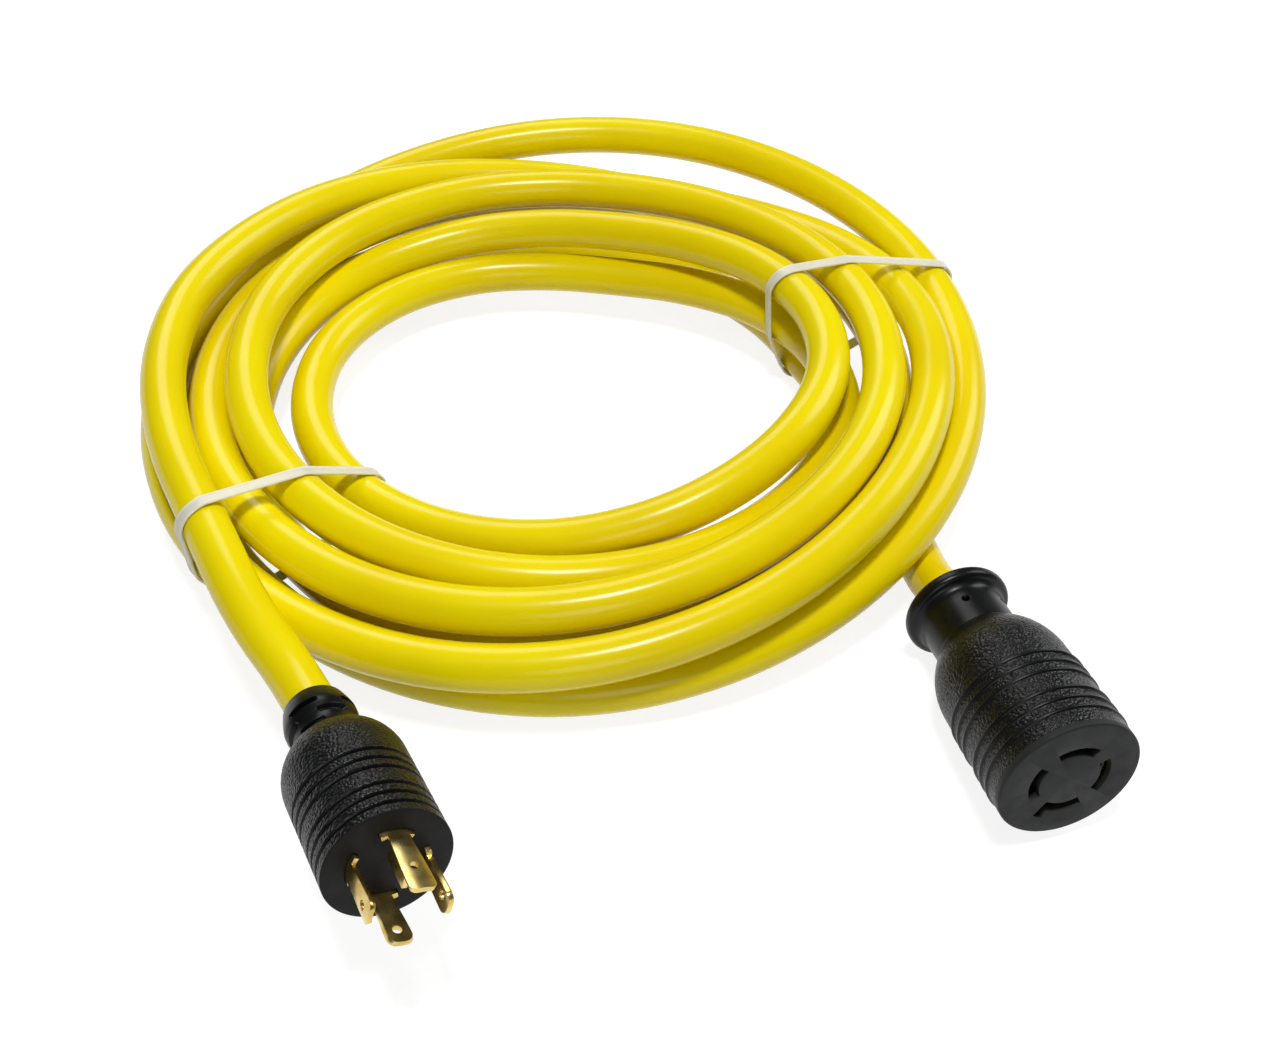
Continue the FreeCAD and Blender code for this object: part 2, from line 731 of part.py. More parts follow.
# How much of the shorter run each bend takes up
LEAD_ARC_SHARE = 0.49
LEAD_BEND_AT = Vector(measure("lead_bend_right"), measure("-lead_bend_forward"),
                      measure("cord_diameter / 2 + lead_bend_lift"))


def tube_path(points):
    """Straight runs joined by tangent arcs."""
    edges = []
    here = points[0]
    for number in range(1, len(points) - 1):
        corner = points[number]
        back = points[number - 1] - corner
        ahead = points[number + 1] - corner
        reach = LEAD_ARC_SHARE * min(back.Length, ahead.Length)
        turn = math.pi - back.getAngle(ahead)
        print("Lead: turn of %.0f degrees, radius %.0f mm" % (math.degrees(turn), reach / math.tan(turn / 2)))
        arc_start = corner + back.normalize() * reach
        arc_end = corner + ahead.normalize() * reach
        edges.append(Part.LineSegment(here, arc_start).toShape())
        edges.append(cornered_arc(arc_start, corner, arc_end))
        here = arc_end
    edges.append(Part.LineSegment(here, points[-1]).toShape())
    return edges


def make_lead(name, edges):
    solid = swept(edges)
    report_volume(name, solid, edges)
    lead = doc.addObject("Part::Feature", name.title().replace("_", ""))
    lead.Shape = solid
    return finish(lead, name, Placement())


# Cable ties

def strand_crossings(points, direction):
    """Where the cord crosses the upright half plane at this direction: (distance out, height)."""
    outward = Vector(math.cos(math.radians(direction)), math.sin(math.radians(direction)), 0)
    around = Vector(-outward.y, outward.x, 0)
    crossings = []
    for before, after in zip(points, points[1:]):
        side = before.dot(around)
        next_side = after.dot(around)
        if side <= 0 < next_side and before.dot(outward) > 0:
            place = before + (after - before) * (side / (side - next_side))
            crossings.append((place.dot(outward), place.z))
    return crossings


def hull(places):
    """The convex outline round the places, anticlockwise."""
    places = sorted(places)
    outline = []
    for ordered in (places, places[::-1]):
        chain = []
        for place in ordered:
            while len(chain) > 1 and cross(chain[-2], chain[-1], place) <= 0:
                chain.pop()
            chain.append(place)
        outline += chain[:-1]
    return [Vector(x, y, 0) for x, y in outline]


def cross(first, second, third):
    return ((second[0] - first[0]) * (third[1] - first[1])
            - (second[1] - first[1]) * (third[0] - first[0]))


# How far to each side of its middle a strap clears the strands, in strap widths
TIE_REACH = 0.8


def make_tie(label, points, direction):
    """A strap drawn round the strands, with its head underneath."""
    crossings = []
    for edge in (-TIE_REACH, 0, TIE_REACH):
        inner_strand = min(place[0] for place in strand_crossings(points, direction))
        beside = math.degrees(edge * measure("tie_width") / inner_strand)
        crossings += strand_crossings(points, direction + beside)
    corners = hull(crossings)
    middle_line = Part.makePolygon(corners + corners[:1])
    inside = middle_line.makeOffset2D(CORD_RADIUS + measure("tie_gap"))
    outside = middle_line.makeOffset2D(CORD_RADIUS + measure("tie_gap + tie_thickness"))
    width = measure("tie_width")
    strap = Part.Face(outside).cut(Part.Face(inside)).extrude(Vector(0, 0, width))
    strap.translate(Vector(0, 0, -width / 2))
    sides = list(zip(corners, corners[1:] + corners[:1]))
    under = [side for side in sides if (side[1] - side[0]).Length > measure("tie_head_length")
             and side[1].x > side[0].x]
    start, end = max(under, key=lambda side: (side[1] - side[0]).Length)
    along = (end - start).normalize()
    down = Vector(along.y, -along.x, 0)
    length = measure("tie_head_length")
    head_width = measure("tie_head_width")
    corner = Vector(-length / 2, 0, -head_width / 2)
    head = Part.makeBox(length, measure("tie_head_height"), head_width, corner)
    face_at = (start + end) / 2 + down * (CORD_RADIUS + measure("tie_gap + tie_head_height"))
    angle = math.degrees(math.atan2(along.y, along.x))
    head.Placement = Placement(face_at, Rotation(Vector(0, 0, 1), angle)).multiply(head.Placement)
    tie = doc.addObject("Part::Feature", label.title().replace("_", ""))
    tie.Shape = strap.fuse(head).removeSplitter()
    upright = Rotation(Vector(0, 0, 1), direction) * Rotation(Vector(1, 0, 0), 90)
    return finish(tie, label, Placement(Vector(), upright))


# The object

BLADE_NAMES = ["ground", "line_one", "neutral", "line_two"]
CONTACT_NAMES = ["neutral", "line_two", "ground", "line_one"]
BACK_TIE_AT = 18
FRONT_TIE_AT = 220

coil_edges = coil_path()
coil_start = coil_edges[0].valueAt(coil_edges[0].FirstParameter)
coil_end = coil_edges[-1].valueAt(coil_edges[-1].LastParameter)
# Middles of the two leads, from the coil to the end of the jacket inside each moulding
plug_lead_edges = tube_path([
    coil_end,
    coil_end + coil_edges[-1].tangentAt(0) * measure("coil_end_run"),
    PLUG.multVec(Vector(0, 0, measure("-plug_run"))),
    PLUG.multVec(Vector(0, 0, measure("plug_jacket_end"))),
])
connector_lead_edges = tube_path([
    CONNECTOR.multVec(Vector(0, 0, measure("connector_jacket_end"))),
    CONNECTOR.multVec(Vector(0, 0, measure("-connector_run"))),
    LEAD_BEND_AT,
    coil_start - coil_edges[0].tangentAt(0) * measure("coil_start_run"),
    coil_start,
])

GAP_SPACING = 2.5
coil_points = points_on(coil_edges, GAP_SPACING)
gap = least_gap(coil_points, coil_points, round(4 * CORD / GAP_SPACING))
beyond_joint = coil_points[round(2 * CORD / GAP_SPACING):]
lead_gap = least_gap(points_on(connector_lead_edges, GAP_SPACING), beyond_joint, 0)
print("Coil: %.0f mm of cord, least gap %.2f mm, least gap to the lead %.2f mm"
      % (sum(edge.Length for edge in coil_edges), gap, lead_gap))

make_coil(coil_edges)
make_lead("plug_lead", plug_lead_edges)
make_lead("connector_lead", connector_lead_edges)
make_tie("cable_tie_back", coil_points, BACK_TIE_AT)
make_tie("cable_tie_front", coil_points, FRONT_TIE_AT)
make_plug_body()
make_plug_face()
make_core("plug", BLADE_INNER + " - fit_gap", PLUG_CORE_BACK, PLUG_FACE_BACK, PLUG)
make_connector_body()
make_connector_face()
make_core("connector", SLOT_INNER + " - contact_wall - fit_gap", CONNECTOR_CORE_BACK, CONNECTOR_FACE_BACK,
          CONNECTOR)
for number, name in enumerate(BLADE_NAMES):
    make_blade(number, name)
    make_conductor("plug", number, name, "plug_jacket_end", PLUG_TAIL, PLUG)
for number, name in enumerate(CONTACT_NAMES):
    make_contact(number, name)
    make_conductor("connector", number, name, "connector_jacket_end",
                   CONNECTOR_CORE_BACK + " - contact_tail", CONNECTOR)
doc.recompute()

# The whole object stands with the middle of its footprint at the origin.
whole = FreeCAD.BoundBox()
for part in parts:
    whole.add(part.Shape.optimalBoundingBox())
middle = Vector(whole.Center.x, whole.Center.y, 0)
for part in parts:
    part.Placement.Base = part.Placement.Base - middle
doc.recompute()
print("Middle of the footprint from the coil's middle: %.2f, %.2f" % (middle.x, middle.y))

for item in doc.Objects:
    if "Invalid" in item.State or "Error" in item.State:
        raise RuntimeError("%s failed: %s" % (item.Label, item.State))
os.makedirs("parts", exist_ok=True)
for part in parts:
    if part.Shape.isNull() or not part.Shape.isValid():
        raise RuntimeError(part.Label + " has no valid shape")
    print("%s: %d solids, %.0f cubic mm" % (part.Label, len(part.Shape.Solids), part.Shape.Volume))
    part.Shape.exportStep("parts/%s.step" % part.Label)
all_edges = coil_edges + plug_lead_edges + connector_lead_edges
print("Length of cord: %.0f mm" % sum(edge.Length for edge in all_edges))
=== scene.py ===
"""Shore power cord: a coiled yellow cable with a twist-lock plug and a connector."""

import math

import bmesh
import bpy
from bpy.types import Operator, Panel, PropertyGroup
from mathutils import Matrix, Vector, noise


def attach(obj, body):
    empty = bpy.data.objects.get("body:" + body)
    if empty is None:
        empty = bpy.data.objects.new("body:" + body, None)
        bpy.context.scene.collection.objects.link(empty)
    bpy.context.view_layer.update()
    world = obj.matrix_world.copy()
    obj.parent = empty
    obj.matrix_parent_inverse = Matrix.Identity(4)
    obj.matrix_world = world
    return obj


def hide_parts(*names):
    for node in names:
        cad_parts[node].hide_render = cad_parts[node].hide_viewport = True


bl_info = {
    "name": "Shore Power Cord",
    "version": (1, 0, 0),
    "blender": (4, 5, 0),
    "location": "3D View > Sidebar > Shore Cord",
    "description": "A coiled power cord with a four-blade twist-lock plug and its connector",
    "category": "Object",
}

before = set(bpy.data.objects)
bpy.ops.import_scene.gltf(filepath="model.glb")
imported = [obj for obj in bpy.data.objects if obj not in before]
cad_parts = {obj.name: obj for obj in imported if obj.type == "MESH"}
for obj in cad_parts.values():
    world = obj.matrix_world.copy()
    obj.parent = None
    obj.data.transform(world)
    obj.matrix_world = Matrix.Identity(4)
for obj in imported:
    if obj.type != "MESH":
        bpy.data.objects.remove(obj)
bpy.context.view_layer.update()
BODY = "root"
MM = 0.001
BLADE_NAMES = ["ground", "line_one", "neutral", "line_two"]

# Passes of the cord at the four quarter turns, each (radius, height) of its middle in cord diameters.
# A turn runs right, back, left, front.
TURN_STATIONS = [
    [(6.45, 0.47), (8.80, 0.60), (8.92, 0.60)],
    [(9.50, 1.88), (9.88, 2.35), (9.60, 1.60), (9.30, 1.64)],
    [(8.72, 2.80), (8.62, 1.15), (8.45, 1.75), (8.20, 2.10)],
    [(7.62, 2.90), (6.65, 2.55), (7.50, 2.50), (7.02, 1.95)],
    [(6.75, 1.78), (4.60, 1.25), (6.15, 1.20), (5.66, 1.50)],
    [(6.32, 2.95), (5.00, 2.40), (7.35, 1.35), (7.82, 0.47)],
    [(7.92, 1.71), (7.55, 1.90), (9.15, 2.90)],
]
FIRST_QUARTER_AT = 75
# Where the coil starts and ends: direction in degrees, radius, height, and their steps per radian
COIL_START = (12, 6.39, 0.59, -0.67, 0.10)
COIL_END = (222, 9.50, 2.65, 1.66, -0.80)
# The cord beyond the coil, in millimetres: its straight runs out of the coil's two ends, its places
# along the axes of the plug and the connector, and the bend of the connector's lead
RUN_TO_PLUG, RUN_TO_CONNECTOR = 41, 55
IN_PLUG, IN_CONNECTOR = (14, -12), (-2, 20)
LEAD_BEND = (140.0, -93.0, 9.3)


def linear(hex_colour):
    """An sRGB hex colour as linear RGBA."""
    channels = [int(hex_colour[place:place + 2], 16) / 255 for place in (1, 3, 5)]
    curved = [c / 12.92 if c <= 0.04045 else ((c + 0.055) / 1.055) ** 2.4 for c in channels]
    return (*curved, 1.0)


# Sizes and colours that a user would change

def size(label, what, millimetres):
    return bpy.props.FloatProperty(name=label, description=what, default=millimetres * MM,
                                   unit="LENGTH", precision=5)


def turn(label, what, degrees):
    return bpy.props.FloatProperty(name=label, description=what, default=math.radians(degrees),
                                   subtype="ANGLE")


def place(label, what, millimetres):
    return bpy.props.FloatVectorProperty(name=label, description=what, size=3, subtype="TRANSLATION",
                                         default=[value * MM for value in millimetres], precision=5)


def colour(label, what, hex_colour):
    return bpy.props.FloatVectorProperty(name=label, description=what, size=4, subtype="COLOR",
                                         min=0, max=1, default=linear(hex_colour))


class CordSizes(PropertyGroup):
    diameter: size("Diameter", "Outside diameter of the jacket", 17.5)
    coil_middle: place("Coil middle", "The point that the turns go round", (-9.391, 45.624, 0))
    steps: bpy.props.IntProperty(name="Steps", description="Points to a quarter turn", default=4, min=3)


class TieSizes(PropertyGroup):
    width: size("Width", "Width of the strap", 5.2)
    thickness: size("Thickness", "Thickness of the strap", 1.1)
    gap: size("Gap", "Room between the strap and the strands", 0.5)
    back_at: turn("Back tie", "Direction of the back tie from the coil's middle", 18)
    front_at: turn("Front tie", "Direction of the front tie from the coil's middle", 220)
    head_length: size("Head length", "Length of the ratchet head along the strap", 6.5)
    head_height: size("Head height", "How far the head stands out", 4.6)
    head_width: size("Head width", "Width of the head", 7.0)


class BladeSizes(PropertyGroup):
    circle: size("Circle radius", "Radius of the circle that the blades lie on", 12)
    thickness: size("Thickness", "Thickness of a blade", 1.6)
    reach: size("Reach", "How far the blades stand out of the face", 19.8)
    ground_reach: size("Ground reach", "How far the ground blade stands out of the face", 24.2)
    root: size("Root width", "Width of a blade above its feet", 6.4)
    tip: size("Tip width", "Width of a blade near its tip", 7.8)
    foot: size("Foot width", "Width of a blade where it leaves the face", 10)
    foot_height: size("Foot height", "How far the feet stand out of the face", 1.6)
    corner: size("Tip corner", "Rounding of the tip's corners", 2.2)
    hole: size("Hole radius", "Radius of the hole near the tip", 1.5)
    hole_inset: size("Hole inset", "From the tip to the hole", 4.8)
    ground_inset: size("Ground hole inset", "From the ground blade's tip to its hole", 9.1)
    flange_reach: size("Flange reach", "How far the ground blade's flange stands inward", 5)
    flange_start: size("Flange start", "From the face to the flange", 4.2)
    flange_length: size("Flange length", "Length of the flange along the blade", 12.6)
    slot: size("Slot width", "Width of a slot in the connector's face", 12.6)
    slot_room: size("Slot room", "Room outside a blade to turn in its slot", 1.4)


class PlugSizes(PropertyGroup):
    face_at: place("Face", "Middle of the plug's face", (-50.291, -204.876, 53.0))
    heading: turn("Heading", "Turn about the upright axis", 27.5)
    pitch: turn("Pitch", "How far the face looks up", 11)
    roll: turn("Roll", "Turn about its own axis", -23.5)
    length: size("Length", "From the collar's rim to the face", 75)
    radius: size("Radius", "Radius of the grip", 20.2)


class ConnectorSizes(PropertyGroup):
    face_at: place("Face", "Middle of the connector's face", (161.409, -160.676, 30.003))
    heading: turn("Heading", "Turn about the upright axis", 15.4)
    pitch: turn("Pitch", "How far the face looks up", 7)
    roll: turn("Roll", "Turn about its own axis", -7)
    length: size("Length", "From the bell's rim to the face", 87)
    radius: size("Front radius", "Radius of the grip at its front", 25)
    rear_radius: size("Rear radius", "Radius of the grip behind its ribs", 24.2)


class Finishes(PropertyGroup):
    jacket: colour("Jacket", "Main colour of the cord", "#EEDC00")
    jacket_deep: colour("Jacket, deeper", "Where the jacket is a shade deeper", "#E6CE00")
    grip: colour("Grip", "Black of the mouldings", "#0B0C0D")
    face: colour("Plug face", "Black of the plug's face", "#0A0A0B")
    connector_face: colour("Connector face", "Grey of the connector's face", "#232624")
    brass: colour("Brass", "Clean brass", "#EBD68E")
    brass_dull: colour("Brass, dull", "Brass where it has tarnished", "#CDAF62")
    strap: colour("Strap", "Colour of the cable ties", "#F2EFD8")


class ShoreCord(PropertyGroup):
    cord: bpy.props.PointerProperty(type=CordSizes)
    ties: bpy.props.PointerProperty(type=TieSizes)
    blades: bpy.props.PointerProperty(type=BladeSizes)
    plug: bpy.props.PointerProperty(type=PlugSizes)
    connector: bpy.props.PointerProperty(type=ConnectorSizes)
    finishes: bpy.props.PointerProperty(type=Finishes)


def settings():
    return bpy.context.scene.shore_cord


def facing(end):
    """Where the plug or connector lies: its own Z runs out of the face, and its Y is up."""
    turned = Matrix.Rotation(end.heading, 4, "Z") @ Matrix.Rotation(math.pi / 2 - end.pitch, 4, "X")
    turned = turned @ Matrix.Rotation(end.roll, 4, "Z")
    return Matrix.Translation(end.face_at) @ turned @ Matrix.Translation((0, 0, -end.length))


# Materials

def add_node(tree, kind, values=None, links=None):
    """Adds a node, sets its inputs or properties, and links its inputs from (node, output)."""
    node = tree.nodes.new(kind)
    for name, value in (values or {}).items():
        if isinstance(name, int) or name in node.inputs:
            node.inputs[name].default_value = value
        else:
            setattr(node, name, value)
    for name, (source, output) in (links or {}).items():
        tree.links.new(source.outputs[output], node.inputs[name])
    return node


def noise_of(millimetres, detail):
    """A noise texture whose features are about this big, as (kind, settings, output)."""
    return "ShaderNodeTexNoise", {"Scale": 1 / (millimetres * MM), "Detail": detail}, "Fac"


def surface(name, shades, roughness, relief=None, **sockets):
    """A material, made when it is first asked for. Shades are [colour], or [colour, colour, patch size],
    roughness is (smooth, rough, patch size), and relief is (texture, strength, depth)."""
    material = bpy.data.materials.get(name)
    if material:
        return material
    material = bpy.data.materials.new(name)
    material.use_nodes = True
    tree = material.node_tree
    shader = tree.nodes["Principled BSDF"]
    for socket, value in sockets.items():
        shader.inputs[socket.replace("_", " ")].default_value = value
    where = {"Vector": (add_node(tree, "ShaderNodeTexCoord"), "Object")}

    def textured(texture):
        kind, values, output = texture
        return add_node(tree, kind, values, where), output

    if len(shades) == 1:
        shader.inputs["Base Color"].default_value = shades[0]
    else:
        patches = textured(noise_of(shades[2], 3.0))
        ramp = add_node(tree, "ShaderNodeValToRGB", {}, {"Fac": patches})
        for element, position, shade_there in zip(ramp.color_ramp.elements, (0.35, 0.65), shades):
            element.position = position
            element.color = shade_there
        tree.links.new(ramp.outputs["Color"], shader.inputs["Base Color"])
    smooth, rough, patches = roughness
    spread = add_node(tree, "ShaderNodeMapRange",
                      {"From Min": 0.3, "From Max": 0.7, "To Min": smooth, "To Max": rough},
                      {"Value": textured(noise_of(patches, 4.0))})
    tree.links.new(spread.outputs["Result"], shader.inputs["Roughness"])
    if relief:
        texture, strength, depth = relief
        # A distance is least at a pebble's middle, which stands highest
        bump = add_node(tree, "ShaderNodeBump", {"Strength": strength, "Distance": depth * MM,
                                                 "invert": texture[2] == "Distance"},
                        {"Height": textured(texture)})
        tree.links.new(bump.outputs["Normal"], shader.inputs["Normal"])
    return material


def extruded_pvc():
    """Plasticised PVC, drawn over the cores: glossy, with a faint orange peel and a drift of shade."""
    finishes = settings().finishes
    return surface("extruded_pvc", [finishes.jacket, finishes.jacket_deep, 90], (0.2, 0.26, 25),
                   (noise_of(2.5, 2.0), 0.12, 0.15), IOR=1.54, Specular_IOR_Level=0.22)


def pebbled_pvc():
    """Black PVC moulded in a spark-textured tool: dull, with small shiny facets between the pebbles."""
    grain = ("ShaderNodeTexVoronoi",
             {"Scale": 1 / (0.95 * MM), "feature": "SMOOTH_F1", "Smoothness": 0.3}, "Distance")
    return surface("pebbled_pvc", [settings().finishes.grip], (0.28, 0.36, 12), (grain, 0.9, 0.3),
                   IOR=1.53, Specular_IOR_Level=0.34)


def smooth_pvc():
    """The same black PVC from a polished part of the tool: an even, soft gloss."""
    return surface("smooth_pvc", [settings().finishes.grip], (0.28, 0.36, 8),
                   (noise_of(1.5, 3.0), 0.1, 0.1), IOR=1.53, Specular_IOR_Level=0.22)


def moulded_nylon(name, base):
    """Glass-filled nylon of the faces: matte, with a fine even grain."""
    return surface(name, [base], (0.5, 0.65, 6), (noise_of(0.7, 4.0), 0.15, 0.08),
                   IOR=1.53, Specular_IOR_Level=0.2)


def stamped_brass():
    """Brass strip, stamped and tumbled: polished, with dull patches and fine rolling marks."""
    finishes = settings().finishes
    return surface("stamped_brass", [finishes.brass_dull, finishes.brass, 5], (0.26, 0.34, 6),
                   (noise_of(0.8, 3.0), 0.05, 0.05), Metallic=1.0)


def natural_nylon():
    """Unfilled nylon of the ties: milky, lets light in a little way, with a soft gloss."""
    return surface("natural_nylon", [settings().finishes.strap], (0.3, 0.42, 4),
                   (noise_of(1.2, 2.0), 0.1, 0.1), IOR=1.53, Transmission_Weight=0.15,
                   Subsurface_Weight=0.6, Subsurface_Scale=1.0,
                   Subsurface_Radius=(2 * MM, 2 * MM, 1.6 * MM))


def wire_pvc(name, base):
    """PVC insulation of one core: glossy and evenly coloured."""
    return surface(name, [base], (0.3, 0.4, 4), IOR=1.53)


# Meshes

def linked(name, data):
    """A new object in the scene."""
    thing = bpy.data.objects.new(name, data)
    bpy.context.scene.collection.objects.link(thing)
    return thing


def new_piece(name, mesh, nodes):
    """A finished mesh as a piece of the object, in place of these nodes."""
    piece = linked(name, mesh)
    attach(piece, BODY)
    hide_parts(*nodes)
    return piece


def settle(piece):
    """Applies a piece's modifiers to its mesh."""
    before = piece.data
    graph = bpy.context.evaluated_depsgraph_get()
    after = bpy.data.meshes.new_from_object(piece.evaluated_get(graph))
    piece.modifiers.clear()
    piece.data = after
    bpy.data.meshes.remove(before)


def built(name, points, faces, materials, matrix=Matrix()):
    """A mesh of points in millimetres, put in place, with its faces turned outward."""
    mesh = bpy.data.meshes.new(name)
    mesh.from_pydata([Vector(point) * MM for point in points], [], faces)
    mesh.transform(matrix)
    for material in materials:
        mesh.materials.append(material)
    work = bmesh.new()
    work.from_mesh(mesh)
    bmesh.ops.recalc_face_normals(work, faces=work.faces)
    work.to_mesh(mesh)
    work.free()
    return mesh


def shade(mesh, degrees=35):
    """Smooths the mesh except at edges sharper than this."""
    mesh.shade_smooth()
    mesh.set_sharp_from_angle(angle=math.radians(degrees))


def skin(mesh, points, low, high, index, middles=(), width=0):
    """Gives this material to the faces between two places along the axis, apart from bands round the
    middles, and the other one to the rest."""
    for face in mesh.polygons:
        along = sum(points[corner][2] for corner in face.vertices) / len(face.vertices)
        clear = all(abs(along - middle) >= width / 2 for middle in middles)
        face.material_index = index if low < along < high and clear else 1 - index


def spoke(angle):
    """The level direction at this angle."""
    return Vector((math.cos(angle), math.sin(angle), 0))


def tube_faces(rings, corners, closed=False):
    """Faces along a tube of rings with so many corners each."""
    faces = []
    for ring in range(rings if closed else rings - 1):
        ahead = (ring + 1) % rings
        for corner in range(corners):
            after = (corner + 1) % corners
            faces.append((ring * corners + corner, ring * corners + after,
                          ahead * corners + after, ahead * corners + corner))
    return faces


def turned(outline, sides, relief=None):
    """Points and faces of a closed outline turned about Z. Its entries are (radius, along, 1 where the
    relief applies), and run up the outside and down the inside."""
    points = []
    rings = []
    for radius, along, relieved in outline:
        if radius == 0:
            rings.append([len(points)] * sides)
            points.append((0, 0, along))
            continue
        rings.append(list(range(len(points), len(points) + sides)))
        for side in range(sides):
            angle = 2 * math.pi * side / sides
            out = spoke(angle)
            reach = radius + (relief(radius * out + Vector((0, 0, along)), angle) if relieved else 0)
            points.append(out * reach + Vector((0, 0, along)))
    faces = []
    for lower, upper in zip(rings, rings[1:] + rings[:1]):
        for side in range(sides):
            after = (side + 1) % sides
            corners = list(dict.fromkeys((lower[side], lower[after], upper[after], upper[side])))
            if len(corners) > 2:
                faces.append(corners)
    return points, faces


def rows(start, end, step):
    """Even places from start to end, both included."""
    count = max(1, round(abs(end - start) / step))
    return [start + (end - start) * number / count for number in range(count + 1)]


def fitted_rows(start, end, step, middles, offsets):
    """Even places from start to end, with closer ones at these offsets round each middle."""
    fine = [middle + offset for middle in middles for offset in offsets]
    coarse = [place for place in rows(start, end, step)
              if min(abs(place - other) for other in fine) > step / 3]
    return sorted(fine + coarse)


def through(knots, along):
    """A smooth radius at this place, from (place, radius) knots."""
    number = max(0, min(len(knots) - 2, sum(along >= knot[0] for knot in knots) - 1))
    before = knots[max(0, number - 1)]
    start, end = knots[number], knots[number + 1]
    after = knots[min(len(knots) - 1, number + 2)]
    span = end[0] - start[0]
    part = (along - start[0]) / span
    start_slope = (end[1] - before[1]) / (end[0] - before[0])
    end_slope = (after[1] - start[1]) / (after[0] - start[0])
    return hermite(start[1], end[1], start_slope * span, end_slope * span, part)


def hermite(start, end, start_step, end_step, part):
    """Between two values, with the given steps at the ends."""
    square, cube = part * part, part ** 3
    return ((2 * cube - 3 * square + 1) * start + (cube - 2 * square + part) * start_step
            + (3 * square - 2 * cube) * end + (cube - square) * end_step)


def dome(along, start, start_radius, end, end_radius):
    """Radius of a rounded shoulder that ends parallel to the axis."""
    rise = end_radius - start_radius
    bend = ((end - start) ** 2 + rise ** 2) / (2 * rise)
    return end_radius - bend + math.sqrt(bend ** 2 - (end - along) ** 2)


def corner_arc(middle, radius, start, end, count=6):
    """Outline points round a corner, angles in degrees, with no relief."""
    places = [math.radians(start + (end - start) * number / count) for number in range(count + 1)]
    return [(middle[0] + radius * math.cos(a), middle[1] + radius * math.sin(a), 0) for a in places]


def smooth_step(value):
    value = max(0.0, min(1.0, value))
    return value * value * (3 - 2 * value)


def block(low, high):
    """Points and faces of a box."""
    points = [(x, y, z) for z in (low[2], high[2]) for x, y in
              ((low[0], low[1]), (high[0], low[1]), (high[0], high[1]), (low[0], high[1]))]
    return points, [(3, 2, 1, 0), (4, 5, 6, 7)] + tube_faces(2, 4)


def eased_block(low, high, width):
    """Points and faces of a box with rounded edges."""
    points, faces = block(low, high)
    work = bmesh.new()
    corners = [work.verts.new(point) for point in points]
    for face in faces:
        work.faces.new([corners[number] for number in face])
    bmesh.ops.recalc_face_normals(work, faces=work.faces)
    bmesh.ops.bevel(work, geom=list(work.edges), offset=width, segments=3, profile=0.5, affect="EDGES")
    work.verts.index_update()
    points = [tuple(vertex.co) for vertex in work.verts]
    faces = [tuple(vertex.index for vertex in face.verts) for face in work.faces]
    work.free()
    return points, faces


def bent_bar(inner, outer, width, bottom, top, direction, count=16):
    """Points and faces of a closed bar bent round Z; width is its chord on the blade circle."""
    circle = settings().blades.circle / MM
    half = math.asin(width / 2 / circle)
    points = []
    for number in range(count + 1):
        angle = math.radians(direction) - half + 2 * half * number / count
        for radius, along in ((inner, bottom), (outer, bottom), (outer, top), (inner, top)):
            points.append(spoke(angle) * radius + Vector((0, 0, along)))
    ends = [(3, 2, 1, 0), tuple(4 * count + corner for corner in range(4))]
    return points, ends + tube_faces(count + 1, 4)


def slot_bars(front, width, room, turn_room=0):
    """Bars for a face's four slots, with this much room round the blades, and their outer radius."""
    blades = settings().blades
    circle, thick = blades.circle / MM, blades.thickness / MM
    inner, outer = circle - thick / 2 - room, circle + thick / 2 + room + turn_room
    return [bent_bar(inner, outer, width, front - 4, front + 2, 90 + 90 * number)
            for number in range(4)], outer


def cut_away(piece, bars, matrix):
    """Cuts each bar out of the piece."""
    for points, faces in bars:
        tool = linked("tool", built("tool", points, faces, [], matrix))
        cut = piece.modifiers.new("cut", "BOOLEAN")
        cut.operation = "DIFFERENCE"
        cut.solver = "EXACT"
        cut.object = tool
        settle(piece)
        mesh = tool.data
        bpy.data.objects.remove(tool)
        bpy.data.meshes.remove(mesh)


def join_on(piece, points, faces, matrix):
    """Adds a closed shape to the piece's mesh."""
    extra = built("extra", points, faces, [], matrix)
    work = bmesh.new()
    work.from_mesh(piece.data)
    work.from_mesh(extra)
    work.to_mesh(piece.data)
    work.free()
    bpy.data.meshes.remove(extra)


def ease_edges(piece, width):
    """Rounds the edges sharper than 40 degrees by this width in millimetres."""
    bevel = piece.modifiers.new("eased", "BEVEL")
    bevel.width = width * MM
    bevel.segments = 2
    bevel.limit_method = "ANGLE"
    bevel.angle_limit = math.radians(40)
    settle(piece)


# Cord

def steady_steps(values, directions, first, last):
    """At each station, the mean of the steps per radian before and after it."""
    steps = [(after - before) / (later - earlier)
             for before, after, earlier, later in zip(values, values[1:], directions, directions[1:])]
    return [first] + [(before + after) / 2 for before, after in zip(steps, steps[1:])] + [last]


